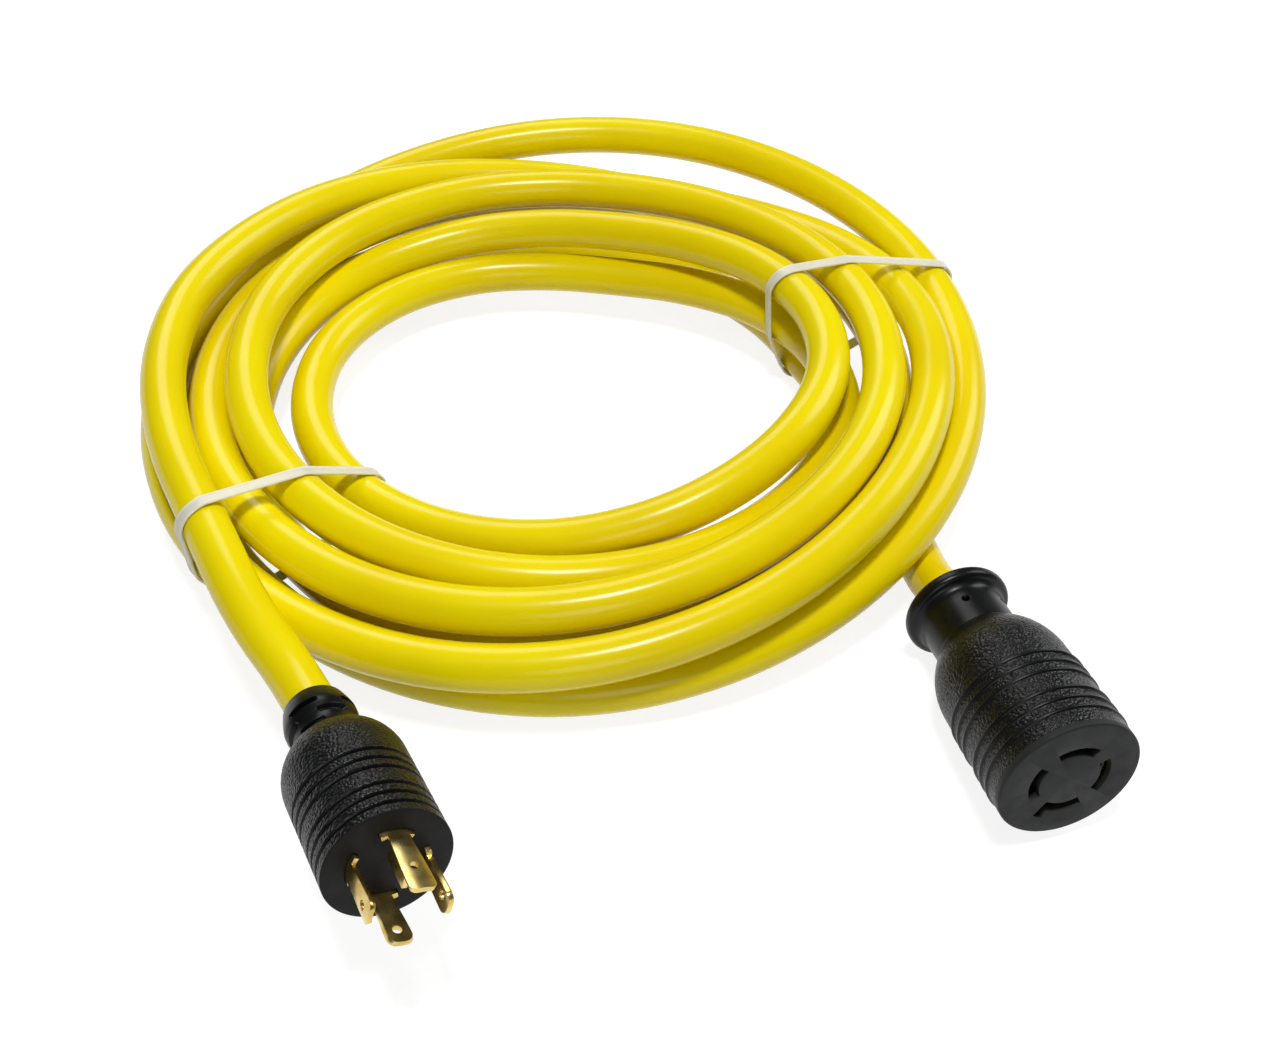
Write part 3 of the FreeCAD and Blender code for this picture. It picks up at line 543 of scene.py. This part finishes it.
def coil_places():
    """Middle of the cord along the coil, in metres, from the stations of its turns."""
    cord = settings().cord
    passes = [station for turn in TURN_STATIONS for station in turn]
    directions = [math.radians(FIRST_QUARTER_AT + 90 * number) for number in range(len(passes))]
    last_turn = directions[-1] - directions[-1] % (2 * math.pi)
    directions = [math.radians(COIL_START[0])] + directions + [last_turn + math.radians(COIL_END[0])]
    radii, heights = zip(COIL_START[1:3], *passes, COIL_END[1:3])
    radius_steps = steady_steps(radii, directions, COIL_START[3], COIL_END[3])
    height_steps = steady_steps(heights, directions, COIL_START[4], COIL_END[4])
    # A crest or a dip is level
    for number, (before, here, after) in enumerate(zip(heights, heights[1:], heights[2:]), 1):
        if (here - before) * (after - here) <= 0:
            height_steps[number] = 0
    places = []
    for number in range(len(directions) - 1):
        span = directions[number + 1] - directions[number]
        count = max(1, round(cord.steps * span / (math.pi / 2)))
        for step in range(count + (number == len(directions) - 2)):
            part = step / count
            direction = directions[number] + span * part
            radius, height = [hermite(values[number], values[number + 1], steps[number] * span,
                                      steps[number + 1] * span, part)
                              for values, steps in ((radii, radius_steps), (heights, height_steps))]
            out = Vector((radius * math.cos(direction), radius * math.sin(direction), height))
            places.append(out * cord.diameter + Vector(cord.coil_middle))
    return places


def drawn_out(places):
    """Control points that bring a spline's line back out to the places."""
    inner = [place + (place - (before + after) / 2) * 0.25
             for before, place, after in zip(places, places[1:], places[2:])]
    return [places[0]] + inner + [places[-1]]


class CordLay(Operator):
    """Lays the cord from the plug round the coil to the connector"""
    bl_idname = "shore_cord.lay_cord"
    bl_label = "Cord"

    def execute(self, context):
        cord = settings().cord
        plug, connector = facing(settings().plug), facing(settings().connector)
        coil = drawn_out(coil_places())
        start_run = (coil[0] - coil[1]).normalized()
        end_run = (coil[-1] - coil[-2]).normalized()
        plug_end = [plug @ Vector((0, 0, along * MM)) for along in IN_PLUG]
        connector_end = [connector @ Vector((0, 0, along * MM)) for along in IN_CONNECTOR]
        bend = Vector(cord.coil_middle) + Vector(LEAD_BEND) * MM
        route = (plug_end + [coil[-1] + end_run * RUN_TO_PLUG * MM] + coil[::-1]
                 + [coil[0] + start_run * RUN_TO_CONNECTOR * MM, bend] + connector_end)
        curve = bpy.data.curves.new("cord", "CURVE")
        curve.dimensions = "3D"
        curve.bevel_depth = cord.diameter / 2
        curve.bevel_resolution = 10
        curve.resolution_u = 10
        curve.use_fill_caps = True
        spline = curve.splines.new("NURBS")
        spline.points.add(len(route) - 1)
        for point, there in zip(spline.points, route):
            point.co = (*there, 1)
        spline.order_u = 3
        spline.use_endpoint_u = True
        spline.use_smooth = True
        curve.materials.append(extruded_pvc())
        new_piece("cord", curve, ["cord_coil", "plug_lead", "connector_lead"])
        context.view_layer.update()
        return {"FINISHED"}


def cord_line():
    """The cord's own line, as points."""
    curve = bpy.data.objects["cord"].data.copy()
    curve.bevel_depth = 0
    holder = linked("line", curve)
    mesh = bpy.data.meshes.new_from_object(holder)
    line = [vertex.co.copy() for vertex in mesh.vertices]
    bpy.data.objects.remove(holder)
    bpy.data.curves.remove(curve)
    bpy.data.meshes.remove(mesh)
    return line


# Ties

def strand_crossings(line, direction, aside):
    """Where the cord crosses an upright half plane through the coil's middle: (distance out, height)."""
    middle = Vector(settings().cord.coil_middle)
    out = spoke(direction)
    around = Vector((-out.y, out.x, 0))
    crossings = []
    for before, after in zip(line, line[1:]):
        side = (before - middle).dot(around) - aside
        next_side = (after - middle).dot(around) - aside
        if side * next_side <= 0 and side != next_side and (before - middle).dot(out) > 0:
            there = before + (after - before) * (side / (side - next_side)) - middle
            crossings.append((there.dot(out), there.z))
    return crossings


def hull(places):
    """The convex outline round the places, anticlockwise."""
    places = sorted(places)
    outline = []
    for ordered in (places, places[::-1]):
        chain = []
        for there in ordered:
            while len(chain) > 1 and cross(chain[-2], chain[-1], there) <= 0:
                chain.pop()
            chain.append(there)
        outline += chain[:-1]
    return [Vector(there) for there in outline]


def cross(first, second, third):
    return ((second[0] - first[0]) * (third[1] - first[1])
            - (second[1] - first[1]) * (third[0] - first[0]))


def loop_round(corners, radius, step):
    """Even places and outward normals along a taut loop at this distance from the corners."""
    path = []
    for number, corner in enumerate(corners):
        back = corner - corners[number - 1]
        ahead = corners[(number + 1) % len(corners)] - corner
        start = math.atan2(-back.x, back.y)
        turn = (math.atan2(-ahead.x, ahead.y) - start) % (2 * math.pi)
        for part in rows(0, turn, step / radius):
            normal = Vector((math.cos(start + part), math.sin(start + part)))
            path.append((corner + normal * radius, normal))
        run = ahead.length
        for along in rows(0, run, step)[1:-1]:
            path.append((corner + ahead.normalized() * along + normal * radius, normal))
    return path


# Across the strap, (to the side, outward): a toothed inside, rounded edges and a shallow channel
STRAP_SECTION = [(-0.86, 0.0), (-0.6, 0.0), (-0.55, 0.22), (0.55, 0.22), (0.6, 0.0), (0.86, 0.0),
                 (1.0, 0.3), (1.0, 0.7), (0.86, 1.0), (0.62, 1.0), (0.5, 0.8), (-0.5, 0.8),
                 (-0.62, 1.0), (-0.86, 1.0), (-1.0, 0.7), (-1.0, 0.3)]
TOOTHED = (2, 3)
TOOTH = 0.12
TOOTH_STEP = 0.6 * MM


class TieStraps(Operator):
    """Draws the two cable ties round the strands"""
    bl_idname = "shore_cord.tie_straps"
    bl_label = "Cable ties"

    def execute(self, context):
        ties = settings().ties
        line = cord_line()
        for name, direction in (("cable_tie_back", ties.back_at), ("cable_tie_front", ties.front_at)):
            self.strap(line, name, direction)
        return {"FINISHED"}

    def strap(self, line, name, direction):
        """One strap, drawn in the upright plane that runs outward in this direction."""
        cord, ties = settings().cord, settings().ties
        crossings = []
        for aside in (-0.6, 0, 0.6):
            crossings += strand_crossings(line, direction, aside * ties.width)
        corners = hull(crossings)
        inner = cord.diameter / 2 + ties.gap * 0.6
        path = loop_round(corners, inner, TOOTH_STEP)
        half, thick = ties.width / 2, ties.thickness
        out = spoke(direction)
        around = Vector((-out.y, out.x, 0))
        middle = Vector(cord.coil_middle)
        points = []
        for number, (there, normal) in enumerate(path):
            for index, (side, outward) in enumerate(STRAP_SECTION):
                if number % 2 and index in TOOTHED:
                    outward += TOOTH
                reach = there + normal * outward * thick
                point = middle + out * reach.x + Vector((0, 0, reach.y)) - around * side * half
                points.append(point / MM)
        faces = tube_faces(len(path), len(STRAP_SECTION), closed=True)
        head, head_faces = self.head(corners, inner)
        faces += [tuple(corner + len(points) for corner in face) for face in head_faces]
        points += [(middle + out * x + Vector((0, 0, y)) - around * side) / MM for x, y, side in head]
        mesh = built(name, points, faces, [natural_nylon()])
        shade(mesh)
        new_piece(name + "_strap", mesh, [name])

    def head(self, corners, inner):
        """The ratchet head under the longest side below, as (out, up, aside) points and faces."""
        ties = settings().ties
        sides = zip(corners, corners[1:] + corners[:1])
        below = [(start, end) for start, end in sides if end.x > start.x]
        start, end = max(below, key=lambda side: (side[1] - side[0]).length)
        along = (end - start).normalized()
        down = Vector((along.y, -along.x))
        top = (start + end) / 2 + down * inner
        low = (-ties.head_length / 2, 0, -ties.head_width / 2)
        high = (ties.head_length / 2, ties.head_height, ties.head_width / 2)
        points, faces = eased_block(low, high, 0.7 * MM)
        return [(*(top + along * x + down * y), aside) for x, y, aside in points], faces


# Plug

# Both mouldings, in millimetres
PEBBLE_GRAIN = 1.15
PEBBLE_DEPTH = 0.16
PEBBLE_VALLEY = 0.35
GRIP_STEP = 0.4
CORD_ROOM = 0.15


def grip_relief(point, angle):
    """How far the skin lies below the tops of its pebbles."""
    near = noise.voronoi(point / PEBBLE_GRAIN)[0]
    valley = 1 - min(1, (near[1] - near[0]) / PEBBLE_VALLEY)
    return -PEBBLE_DEPTH * valley * valley


def grooves(along, middles, width, depth):
    """How deep grooves with sloping walls are at this place, or how high ribs."""
    away = min(abs(along - middle) for middle in middles) / (width / 2)
    return depth * (1 - smooth_step((away - 0.4) / 0.6))


def grip_skin(rear_relief, rear_end, middles, width, start, over):
    """A grip's relief: its own at the rear, then pebbles that fade in and spare its grooves or ribs."""
    def relief(point, angle):
        if point.z < rear_end:
            return rear_relief(point, angle)
        smoothed = 1 - grooves(point.z, middles, width, 1)
        return grip_relief(point, angle) * smoothed * smooth_step((point.z - start) / over)
    return relief


def moulding(end, name, node, outline, sides, relief, pebbled, middles, width):
    """Turns a grip whose skin is pebbled over this stretch, apart from its grooves or ribs."""
    points, faces = turned(outline, sides, relief)
    mesh = built(name, points, faces, [pebbled_pvc(), smooth_pvc()], facing(end))
    skin(mesh, points, *pebbled, 0, middles, width)
    shade(mesh, 60)
    new_piece(name, mesh, [node])


# Places along the plug are millimetres from its collar's rim
PLUG_GROOVES = [46.5, 50.8, 55.1, 62.5, 66.8, 71.1]
GROOVE_WIDTH = 1.7
GROOVE_DEPTH = 1.1
GROOVE_ROWS = [-1.0, -0.9, -0.6, -0.3, 0, 0.3, 0.6, 0.9, 1.0]
COLLAR_KNOTS = [(0.8, 10.8), (4.5, 11.75), (8.5, 12.3), (11.6, 11.7), (14.0, 10.95), (17.0, 10.9),
                (19.5, 11.3)]
# Windows in the collar: rows along it, four to a row, each row turned by half a step
COLLAR_ROWS = [(8.4, 45.0), (12.7, 0.0), (17.0, 45.0)]
WINDOW_ARC = math.radians(52)
WINDOW_WIDTH = 1.9
WINDOW_FLOOR = 9.9
# The grip's shoulder: where it starts, its radius there and where it is full
PLUG_DOME_START, PLUG_DOME_RADIUS, PLUG_DOME_END = 20, 11.6, 36
# The hollow behind the face, and how far the jacket reaches in
PLUG_HOLLOW_RADIUS, PLUG_HOLLOW_START, PLUG_JACKET_END = 15.7, 34, 22
PLUG_FACE_DEPTH = 2
FOOT_ROOM = 0.2
PLUG_SIDES = 300


def collar_relief(point, angle):
    """The recessed windows in the plug's collar."""
    radius = math.hypot(point.x, point.y)
    cut = 0.0
    for along, start in COLLAR_ROWS:
        step = math.pi / 2
        around = (angle - math.radians(start) + step / 2) % step - step / 2
        beside = max(0.0, (abs(around) - WINDOW_ARC / 2) * radius + WINDOW_WIDTH / 2)
        away = math.hypot(beside, point.z - along)
        cut = max(cut, 1 - smooth_step((away - WINDOW_WIDTH / 2 + 0.1) / 0.25))
    return (WINDOW_FLOOR - radius) * cut


class PlugGrip(Operator):
    """Turns the plug's moulded grip, with its collar, grooves and pebbled skin"""
    bl_idname = "shore_cord.plug_grip"
    bl_label = "Plug grip"

    def execute(self, context):
        plug = settings().plug
        radius = plug.radius / MM
        bore = settings().cord.diameter / MM / 2 + CORD_ROOM
        face_back = plug.length / MM - PLUG_FACE_DEPTH
        outline = [(bore, 0.4, 0), (bore + 0.4, 0, 0)]
        outline += corner_arc((10.0, 0.8), 0.8, -90, 0)
        for start, end, step in ((1.0, 7.0, 0.5), (7.15, 19.5, 0.16)):
            outline += [(through(COLLAR_KNOTS, along), along, 1) for along in rows(start, end, step)]
        for along in fitted_rows(PLUG_DOME_START, face_back, GRIP_STEP, PLUG_GROOVES, GROOVE_ROWS):
            reach = radius
            if along < PLUG_DOME_END:
                reach = dome(along, PLUG_DOME_START, PLUG_DOME_RADIUS, PLUG_DOME_END, radius)
            reach -= grooves(along, PLUG_GROOVES, GROOVE_WIDTH, GROOVE_DEPTH)
            outline.append((reach, along, 1))
        outline += [(PLUG_HOLLOW_RADIUS, face_back, 0), (PLUG_HOLLOW_RADIUS, PLUG_HOLLOW_START, 0),
                    (bore, PLUG_JACKET_END, 0)]
        relief = grip_skin(collar_relief, PLUG_DOME_START - 0.2, PLUG_GROOVES, GROOVE_WIDTH + 0.6,
                           PLUG_DOME_START + 0.5, 1.5)
        moulding(plug, "plug_grip", "plug_body", outline, PLUG_SIDES, relief,
                 (PLUG_DOME_START + 1, face_back - 0.01), PLUG_GROOVES, GROOVE_WIDTH)
        return {"FINISHED"}


class PlugFace(Operator):
    """Makes the plug's flat face, slotted for the blades"""
    bl_idname = "shore_cord.plug_face"
    bl_label = "Plug face"

    def execute(self, context):
        plug, blades = settings().plug, settings().blades
        radius, front = plug.radius / MM, plug.length / MM
        outline = [(0, front - PLUG_FACE_DEPTH, 0), (radius, front - PLUG_FACE_DEPTH, 0)]
        outline += [(radius, along, 1) for along in rows(front - 1.6, front - 0.5, 0.4)]
        outline += corner_arc((radius - 0.35, front - 0.35), 0.35, 0, 90, 4)
        outline += [(radius - 1.5, front, 0), (0, front, 0)]
        points, faces = turned(outline, PLUG_SIDES, grip_relief)
        face_black = moulded_nylon("face_nylon_black", settings().finishes.face)
        mesh = built("plug_front", points, faces, [face_black, pebbled_pvc()], facing(plug))
        skin(mesh, points, front - 1.9, front - 0.3, 1)
        piece = new_piece("plug_front", mesh, ["plug_face"])
        bars, _ = slot_bars(front, blades.foot / MM + 0.5, FOOT_ROOM)
        cut_away(piece, bars, facing(plug))
        shade(piece.data)
        return {"FINISHED"}


# The ground blade's flange: its thickness, and how far out its root reaches
FLANGE_THICKNESS = 1.6
FLANGE_ROOT = 12.0


def blade_sheet(face, tip):
    """Points and faces of a flat blade's outline bent round Z, as one sheet."""
    blades = settings().blades
    circle = blades.circle / MM
    shoulder = face + blades.foot_height / MM
    corner = blades.corner / MM
    root, wide, foot = blades.root / MM / 2, blades.tip / MM / 2, blades.foot / MM / 2
    outline = [(foot, along) for along in rows(50, shoulder, 4)]
    outline += [(root, shoulder + 0.05)]
    for along in rows(shoulder + 0.6, tip - corner, 1.2):
        part = (along - shoulder) / (tip - corner - shoulder)
        outline.append((root + (wide - root) * smooth_step(part), along))
    for angle in rows(10, 90, 10):
        turn = math.radians(angle)
        outline.append((wide - corner + corner * math.cos(turn), tip - corner + corner * math.sin(turn)))
    columns = 16
    points = []
    for half, along in outline:
        for column in range(columns + 1):
            angle = half * (2 * column / columns - 1) / circle
            points.append((circle * math.sin(angle), circle * math.cos(angle), along))
    faces = []
    for row in range(len(outline) - 1):
        for column in range(columns):
            first = row * (columns + 1) + column
            faces.append((first, first + 1, first + columns + 2, first + columns + 1))
    return points, faces


def barrel(radius, length, middle):
    """Points and faces of a round bar along Y, about a middle on Z."""
    count = 24
    points = []
    for y in (0, length):
        for number in range(count):
            angle = 2 * math.pi * number / count
            points.append((radius * math.cos(angle), y, middle + radius * math.sin(angle)))
    faces = [tuple(range(count)), tuple(range(2 * count - 1, count - 1, -1))]
    return points, faces + tube_faces(2, count)


class PlugBlades(Operator):
    """Bends the four brass blades, the ground one with its flange"""
    bl_idname = "shore_cord.plug_blades"
    bl_label = "Blades"

    def execute(self, context):
        plug, blades = settings().plug, settings().blades
        face = plug.length / MM
        for number, name in enumerate(BLADE_NAMES):
            ground = name == "ground"
            tip = face + (blades.ground_reach if ground else blades.reach) / MM
            matrix = facing(plug) @ Matrix.Rotation(math.pi / 2 * number, 4, "Z")
            points, faces = blade_sheet(face, tip)
            mesh = built("blade_" + name, points, faces, [stamped_brass()], matrix)
            piece = new_piece("blade_" + name, mesh, ["plug_blade_" + name])
            thicken = piece.modifiers.new("thick", "SOLIDIFY")
            thicken.thickness = blades.thickness
            thicken.offset = 0
            settle(piece)
            inset = (blades.ground_inset if ground else blades.hole_inset) / MM
            cut_away(piece, [barrel(blades.hole / MM, 20, tip - inset)], matrix)
            if ground:
                start = face + blades.flange_start / MM
                end = start + blades.flange_length / MM
                edge = 0.15 - blades.root / MM / 2
                inner = (blades.circle - blades.thickness / 2 - blades.flange_reach) / MM
                flange = block((edge, inner, start), (edge + FLANGE_THICKNESS, FLANGE_ROOT, end))
                join_on(piece, *flange, matrix)
            ease_edges(piece, 0.2)
            shade(piece.data, 30)
        return {"FINISHED"}


# Connector

# Places along the connector are millimetres from its bell's rim
CONNECTOR_RIBS = [51.8, 56.4, 61.0, 69.3, 73.9, 78.5]
RIB_WIDTH = 1.7
RIB_HEIGHT = 0.65
RIB_ROWS = [-1.0, -0.85, -0.6, -0.3, 0, 0.3, 0.6, 0.85, 1.0]
# Small holes in the neck, a pair above and a pair below
NECK_HOLES = [math.radians(degrees) for degrees in (47.6, 107.6, 227.6, 287.6)]
NECK_HOLES_AT = 12.4
NECK_HOLE_RADIUS = 1.25
NECK_HOLE_DEPTH = 2.5
NECK_KNOTS = [(5.8, 17.1), (7.2, 16.2), (9.0, 15.85), (13, 15.8), (19, 15.8), (22.5, 15.85)]
CONNECTOR_DOME_START, CONNECTOR_DOME_RADIUS, CONNECTOR_DOME_END = 22.5, 15.8, 43
CONNECTOR_HOLLOW_RADIUS, CONNECTOR_HOLLOW_START, CONNECTOR_JACKET_END = 15.1, 42, 26
CONNECTOR_FACE_DEPTH = 2.5
CONNECTOR_SIDES = 372
SLOT_CLEARANCE = 0.35
# The nub on the ground slot: its width, and how far it reaches out past the slot
NUB_WIDTH, NUB_REACH = 2.4, 3.4


def neck_relief(point, angle):
    """The small holes in the connector's neck."""
    around = min(abs((angle - hole + math.pi) % (2 * math.pi) - math.pi) for hole in NECK_HOLES)
    away = math.hypot(around * math.hypot(point.x, point.y), point.z - NECK_HOLES_AT)
    return -NECK_HOLE_DEPTH * (1 - smooth_step((away - NECK_HOLE_RADIUS + 0.1) / 0.3))


class ConnectorGrip(Operator):
    """Turns the connector's moulded grip, with its bell, neck, ribs and pebbled skin"""
    bl_idname = "shore_cord.connector_grip"
    bl_label = "Connector grip"

    def execute(self, context):
        connector = settings().connector
        front, rear = connector.radius / MM, connector.rear_radius / MM
        bore = settings().cord.diameter / MM / 2 + CORD_ROOM
        face_back = connector.length / MM - CONNECTOR_FACE_DEPTH
        outline = [(bore, 6, 0), (12.0, 0.4, 0), (12.6, 0, 0)]
        outline += corner_arc((17.6, 2.2), 2.2, -90, 0, 8) + corner_arc((17.6, 3.3), 2.2, 0, 80, 8)
        for start, end, step in ((5.8, 10.6, 0.4), (10.8, 14.0, 0.2), (14.4, 22.5, 0.6)):
            outline += [(through(NECK_KNOTS, along), along, 1) for along in rows(start, end, step)]
        start, full = CONNECTOR_DOME_START, CONNECTOR_DOME_END
        for along in fitted_rows(start + 0.5, face_back, GRIP_STEP, CONNECTOR_RIBS, RIB_ROWS):
            if along < full:
                reach = dome(along, start, CONNECTOR_DOME_RADIUS, full, rear)
            else:
                reach = rear + (front - rear) * (along - full) / (face_back - full)
            reach += grooves(along, CONNECTOR_RIBS, RIB_WIDTH, RIB_HEIGHT)
            outline.append((reach, along, 1))
        outline += [(CONNECTOR_HOLLOW_RADIUS, face_back, 0),
                    (CONNECTOR_HOLLOW_RADIUS, CONNECTOR_HOLLOW_START, 0),
                    (bore, CONNECTOR_JACKET_END, 0)]
        relief = grip_skin(neck_relief, start + 0.2, CONNECTOR_RIBS, RIB_WIDTH + 0.4, start + 4.5, 8)
        moulding(connector, "connector_grip", "connector_body", outline, CONNECTOR_SIDES, relief,
                 (start + 6.5, face_back - 0.01), CONNECTOR_RIBS, RIB_WIDTH)
        return {"FINISHED"}


class ConnectorFace(Operator):
    """Makes the connector's face, with its four curved slots"""
    bl_idname = "shore_cord.connector_face"
    bl_label = "Connector face"

    def execute(self, context):
        connector, blades = settings().connector, settings().blades
        radius, front = connector.radius / MM, connector.length / MM
        back = front - CONNECTOR_FACE_DEPTH
        outline = [(0, back, 0), (radius, back, 0)]
        outline += corner_arc((radius - 0.85, front - 0.85), 0.85, 0, 90, 6)
        outline += [(0, front, 0)]
        points, faces = turned(outline, 160)
        face_grey = moulded_nylon("face_nylon_grey", settings().finishes.connector_face)
        mesh = built("connector_front", points, faces, [face_grey], facing(connector))
        piece = new_piece("connector_front", mesh, ["connector_face"])
        slot = blades.slot / MM
        bars, outer = slot_bars(front, slot, SLOT_CLEARANCE, blades.slot_room / MM)
        nub_turn = math.degrees(math.asin((NUB_WIDTH - slot) / 2 / (blades.circle / MM)))
        bars.append(bent_bar(outer - 0.5, outer + NUB_REACH, NUB_WIDTH, front - 4, front + 2,
                             270 + nub_turn, 4))
        cut_away(piece, bars, facing(connector))
        ease_edges(piece, 0.25)
        shade(piece.data)
        return {"FINISHED"}


WIRE_COLOURS = {"ground": "#0E7A2E", "line_one": "#1A1A1A", "neutral": "#E8E8E4", "line_two": "#B8160F"}


class InnerParts(Operator):
    """Gives the solids inside the two ends their finishes"""
    bl_idname = "shore_cord.inner_parts"
    bl_label = "Inner parts"

    def execute(self, context):
        for name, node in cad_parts.items():
            if "_conductor_" in name:
                core = name.split("_conductor_")[1]
                material = wire_pvc("wire_pvc_" + core, linear(WIRE_COLOURS[core]))
            elif "_contact_" in name:
                material = stamped_brass()
            elif name.endswith("_core"):
                material = moulded_nylon("face_nylon_black", settings().finishes.face)
            else:
                continue
            node.data.materials.clear()
            node.data.materials.append(material)
        return {"FINISHED"}


# Stage

# The photograph is 1280 pixels wide, and the focal length is 1410 of them
SENSOR_WIDTH = 36
FOCAL_PER_WIDTH = 1410 / 1280
CAMERA_AT = (0.02261, -0.41838, 0.414)
CAMERA_DOWN = 46
LAMPS_AIM_AT = (0, 0.05, 0.03)
# Softboxes: name, place, size in metres, watts
SOFTBOXES = [
    ("softbox_over", (0.00, -0.25, 1.40), 0.24, 11.5),
    ("softbox_front", (0.10, -1.35, 0.70), 0.60, 3),
    ("softbox_right", (1.15, 0.60, 0.95), 0.90, 10),
    ("softbox_back", (-0.35, 1.15, 1.05), 0.80, 6),
]
FLOOR_REACH = 4
ROOM_LIGHT = 0.09


class Stage(Operator):
    """Sets the camera, the lights and the pale floor"""
    bl_idname = "shore_cord.stage"
    bl_label = "Stage"

    def execute(self, context):
        scene = context.scene
        self.camera(scene)
        self.floor()
        self.world(scene)
        for softbox in SOFTBOXES:
            self.lamp(*softbox)
        scene.view_settings.view_transform = "Standard"
        return {"FINISHED"}

    def camera(self, scene):
        data = bpy.data.cameras.new("camera")
        data.sensor_width = SENSOR_WIDTH
        data.lens = SENSOR_WIDTH * FOCAL_PER_WIDTH
        data.clip_start = 0.01
        camera = linked("camera", data)
        camera.location = CAMERA_AT
        camera.rotation_euler = (math.radians(90 - CAMERA_DOWN), 0, 0)
        scene.camera = camera

    def lamp(self, name, where, across, watts):
        data = bpy.data.lights.new(name, "AREA")
        data.shape = "DISK"
        data.size = across
        data.energy = watts
        lamp = linked(name, data)
        lamp.location = where
        aim = Vector(LAMPS_AIM_AT) - Vector(where)
        lamp.rotation_euler = aim.to_track_quat("-Z", "Y").to_euler()

    def seen_directly(self, tree):
        """1 for rays from the camera, a gloss or a clear piece, and 0 for others."""
        path = add_node(tree, "ShaderNodeLightPath")
        seen = add_node(tree, "ShaderNodeMath", {"operation": "MAXIMUM"},
                        {0: (path, "Is Camera Ray"), 1: (path, "Is Glossy Ray")})
        return add_node(tree, "ShaderNodeMath", {"operation": "MAXIMUM"},
                        {0: (seen, "Value"), 1: (path, "Is Transmission Ray")})

    def floor(self):
        mesh = bpy.data.meshes.new("floor")
        far = FLOOR_REACH
        mesh.from_pydata([(-far, -far, 0), (far, -far, 0), (far, far, 0), (-far, far, 0)], [],
                         [(0, 1, 2, 3)])
        material = bpy.data.materials.new("white_sweep")
        material.use_nodes = True
        tree = material.node_tree
        tree.nodes.clear()
        paper = add_node(tree, "ShaderNodeBsdfDiffuse", {"Color": linear("#E8E8E8")})
        faint = add_node(tree, "ShaderNodeBsdfDiffuse", {"Color": linear("#8A8A8A")})
        glow = add_node(tree, "ShaderNodeEmission", {"Strength": 0.86})
        lit = add_node(tree, "ShaderNodeAddShader", {}, {0: (faint, "BSDF"), 1: (glow, "Emission")})
        both = add_node(tree, "ShaderNodeMixShader", {}, {0: (self.seen_directly(tree), "Value"),
                                                          1: (paper, "BSDF"), 2: (lit, "Shader")})
        add_node(tree, "ShaderNodeOutputMaterial", {}, {"Surface": (both, "Shader")})
        mesh.materials.append(material)
        floor = linked("floor", mesh)

    def world(self, scene):
        world = bpy.data.worlds.new("studio")
        world.use_nodes = True
        scene.world = world
        tree = world.node_tree
        tree.nodes.clear()
        room = add_node(tree, "ShaderNodeBackground",
                        {"Color": linear("#FFFFFF"), "Strength": ROOM_LIGHT})
        add_node(tree, "ShaderNodeOutputWorld", {}, {"Surface": (room, "Background")})


class ShoreCordPanel(Panel):
    """Lists the pieces in the order in which they are made"""
    bl_idname = "VIEW3D_PT_shore_cord"
    bl_label = "Shore power cord"
    bl_space_type = "VIEW_3D"
    bl_region_type = "UI"
    bl_category = "Shore Cord"

    def draw(self, context):
        for piece in PIECES:
            self.layout.operator(piece.bl_idname)


PIECES = [Stage, CordLay, TieStraps, PlugGrip, PlugFace, PlugBlades, ConnectorGrip, ConnectorFace,
          InnerParts]
CLASSES = [CordSizes, TieSizes, BladeSizes, PlugSizes, ConnectorSizes, Finishes, ShoreCord, *PIECES,
           ShoreCordPanel]


def register():
    for kind in CLASSES:
        bpy.utils.register_class(kind)
    bpy.types.Scene.shore_cord = bpy.props.PointerProperty(type=ShoreCord)


def unregister():
    del bpy.types.Scene.shore_cord
    for kind in reversed(CLASSES):
        bpy.utils.unregister_class(kind)


def declare_cord():
    """Gathers the names of what is on the cord: the two ties, the connector's grip and front, and the
    connector's solids still shown.
    """
    on_it = ["cable_tie_back_strap", "cable_tie_front_strap", "connector_grip", "connector_front"]
    on_it += [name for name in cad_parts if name.startswith("connector_")
              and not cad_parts[name].hide_render]


def main():
    register()
    for piece in PIECES:
        group, name = piece.bl_idname.split(".")
        getattr(getattr(bpy.ops, group), name)()
    declare_cord()


if __name__ == "__main__":
    main()
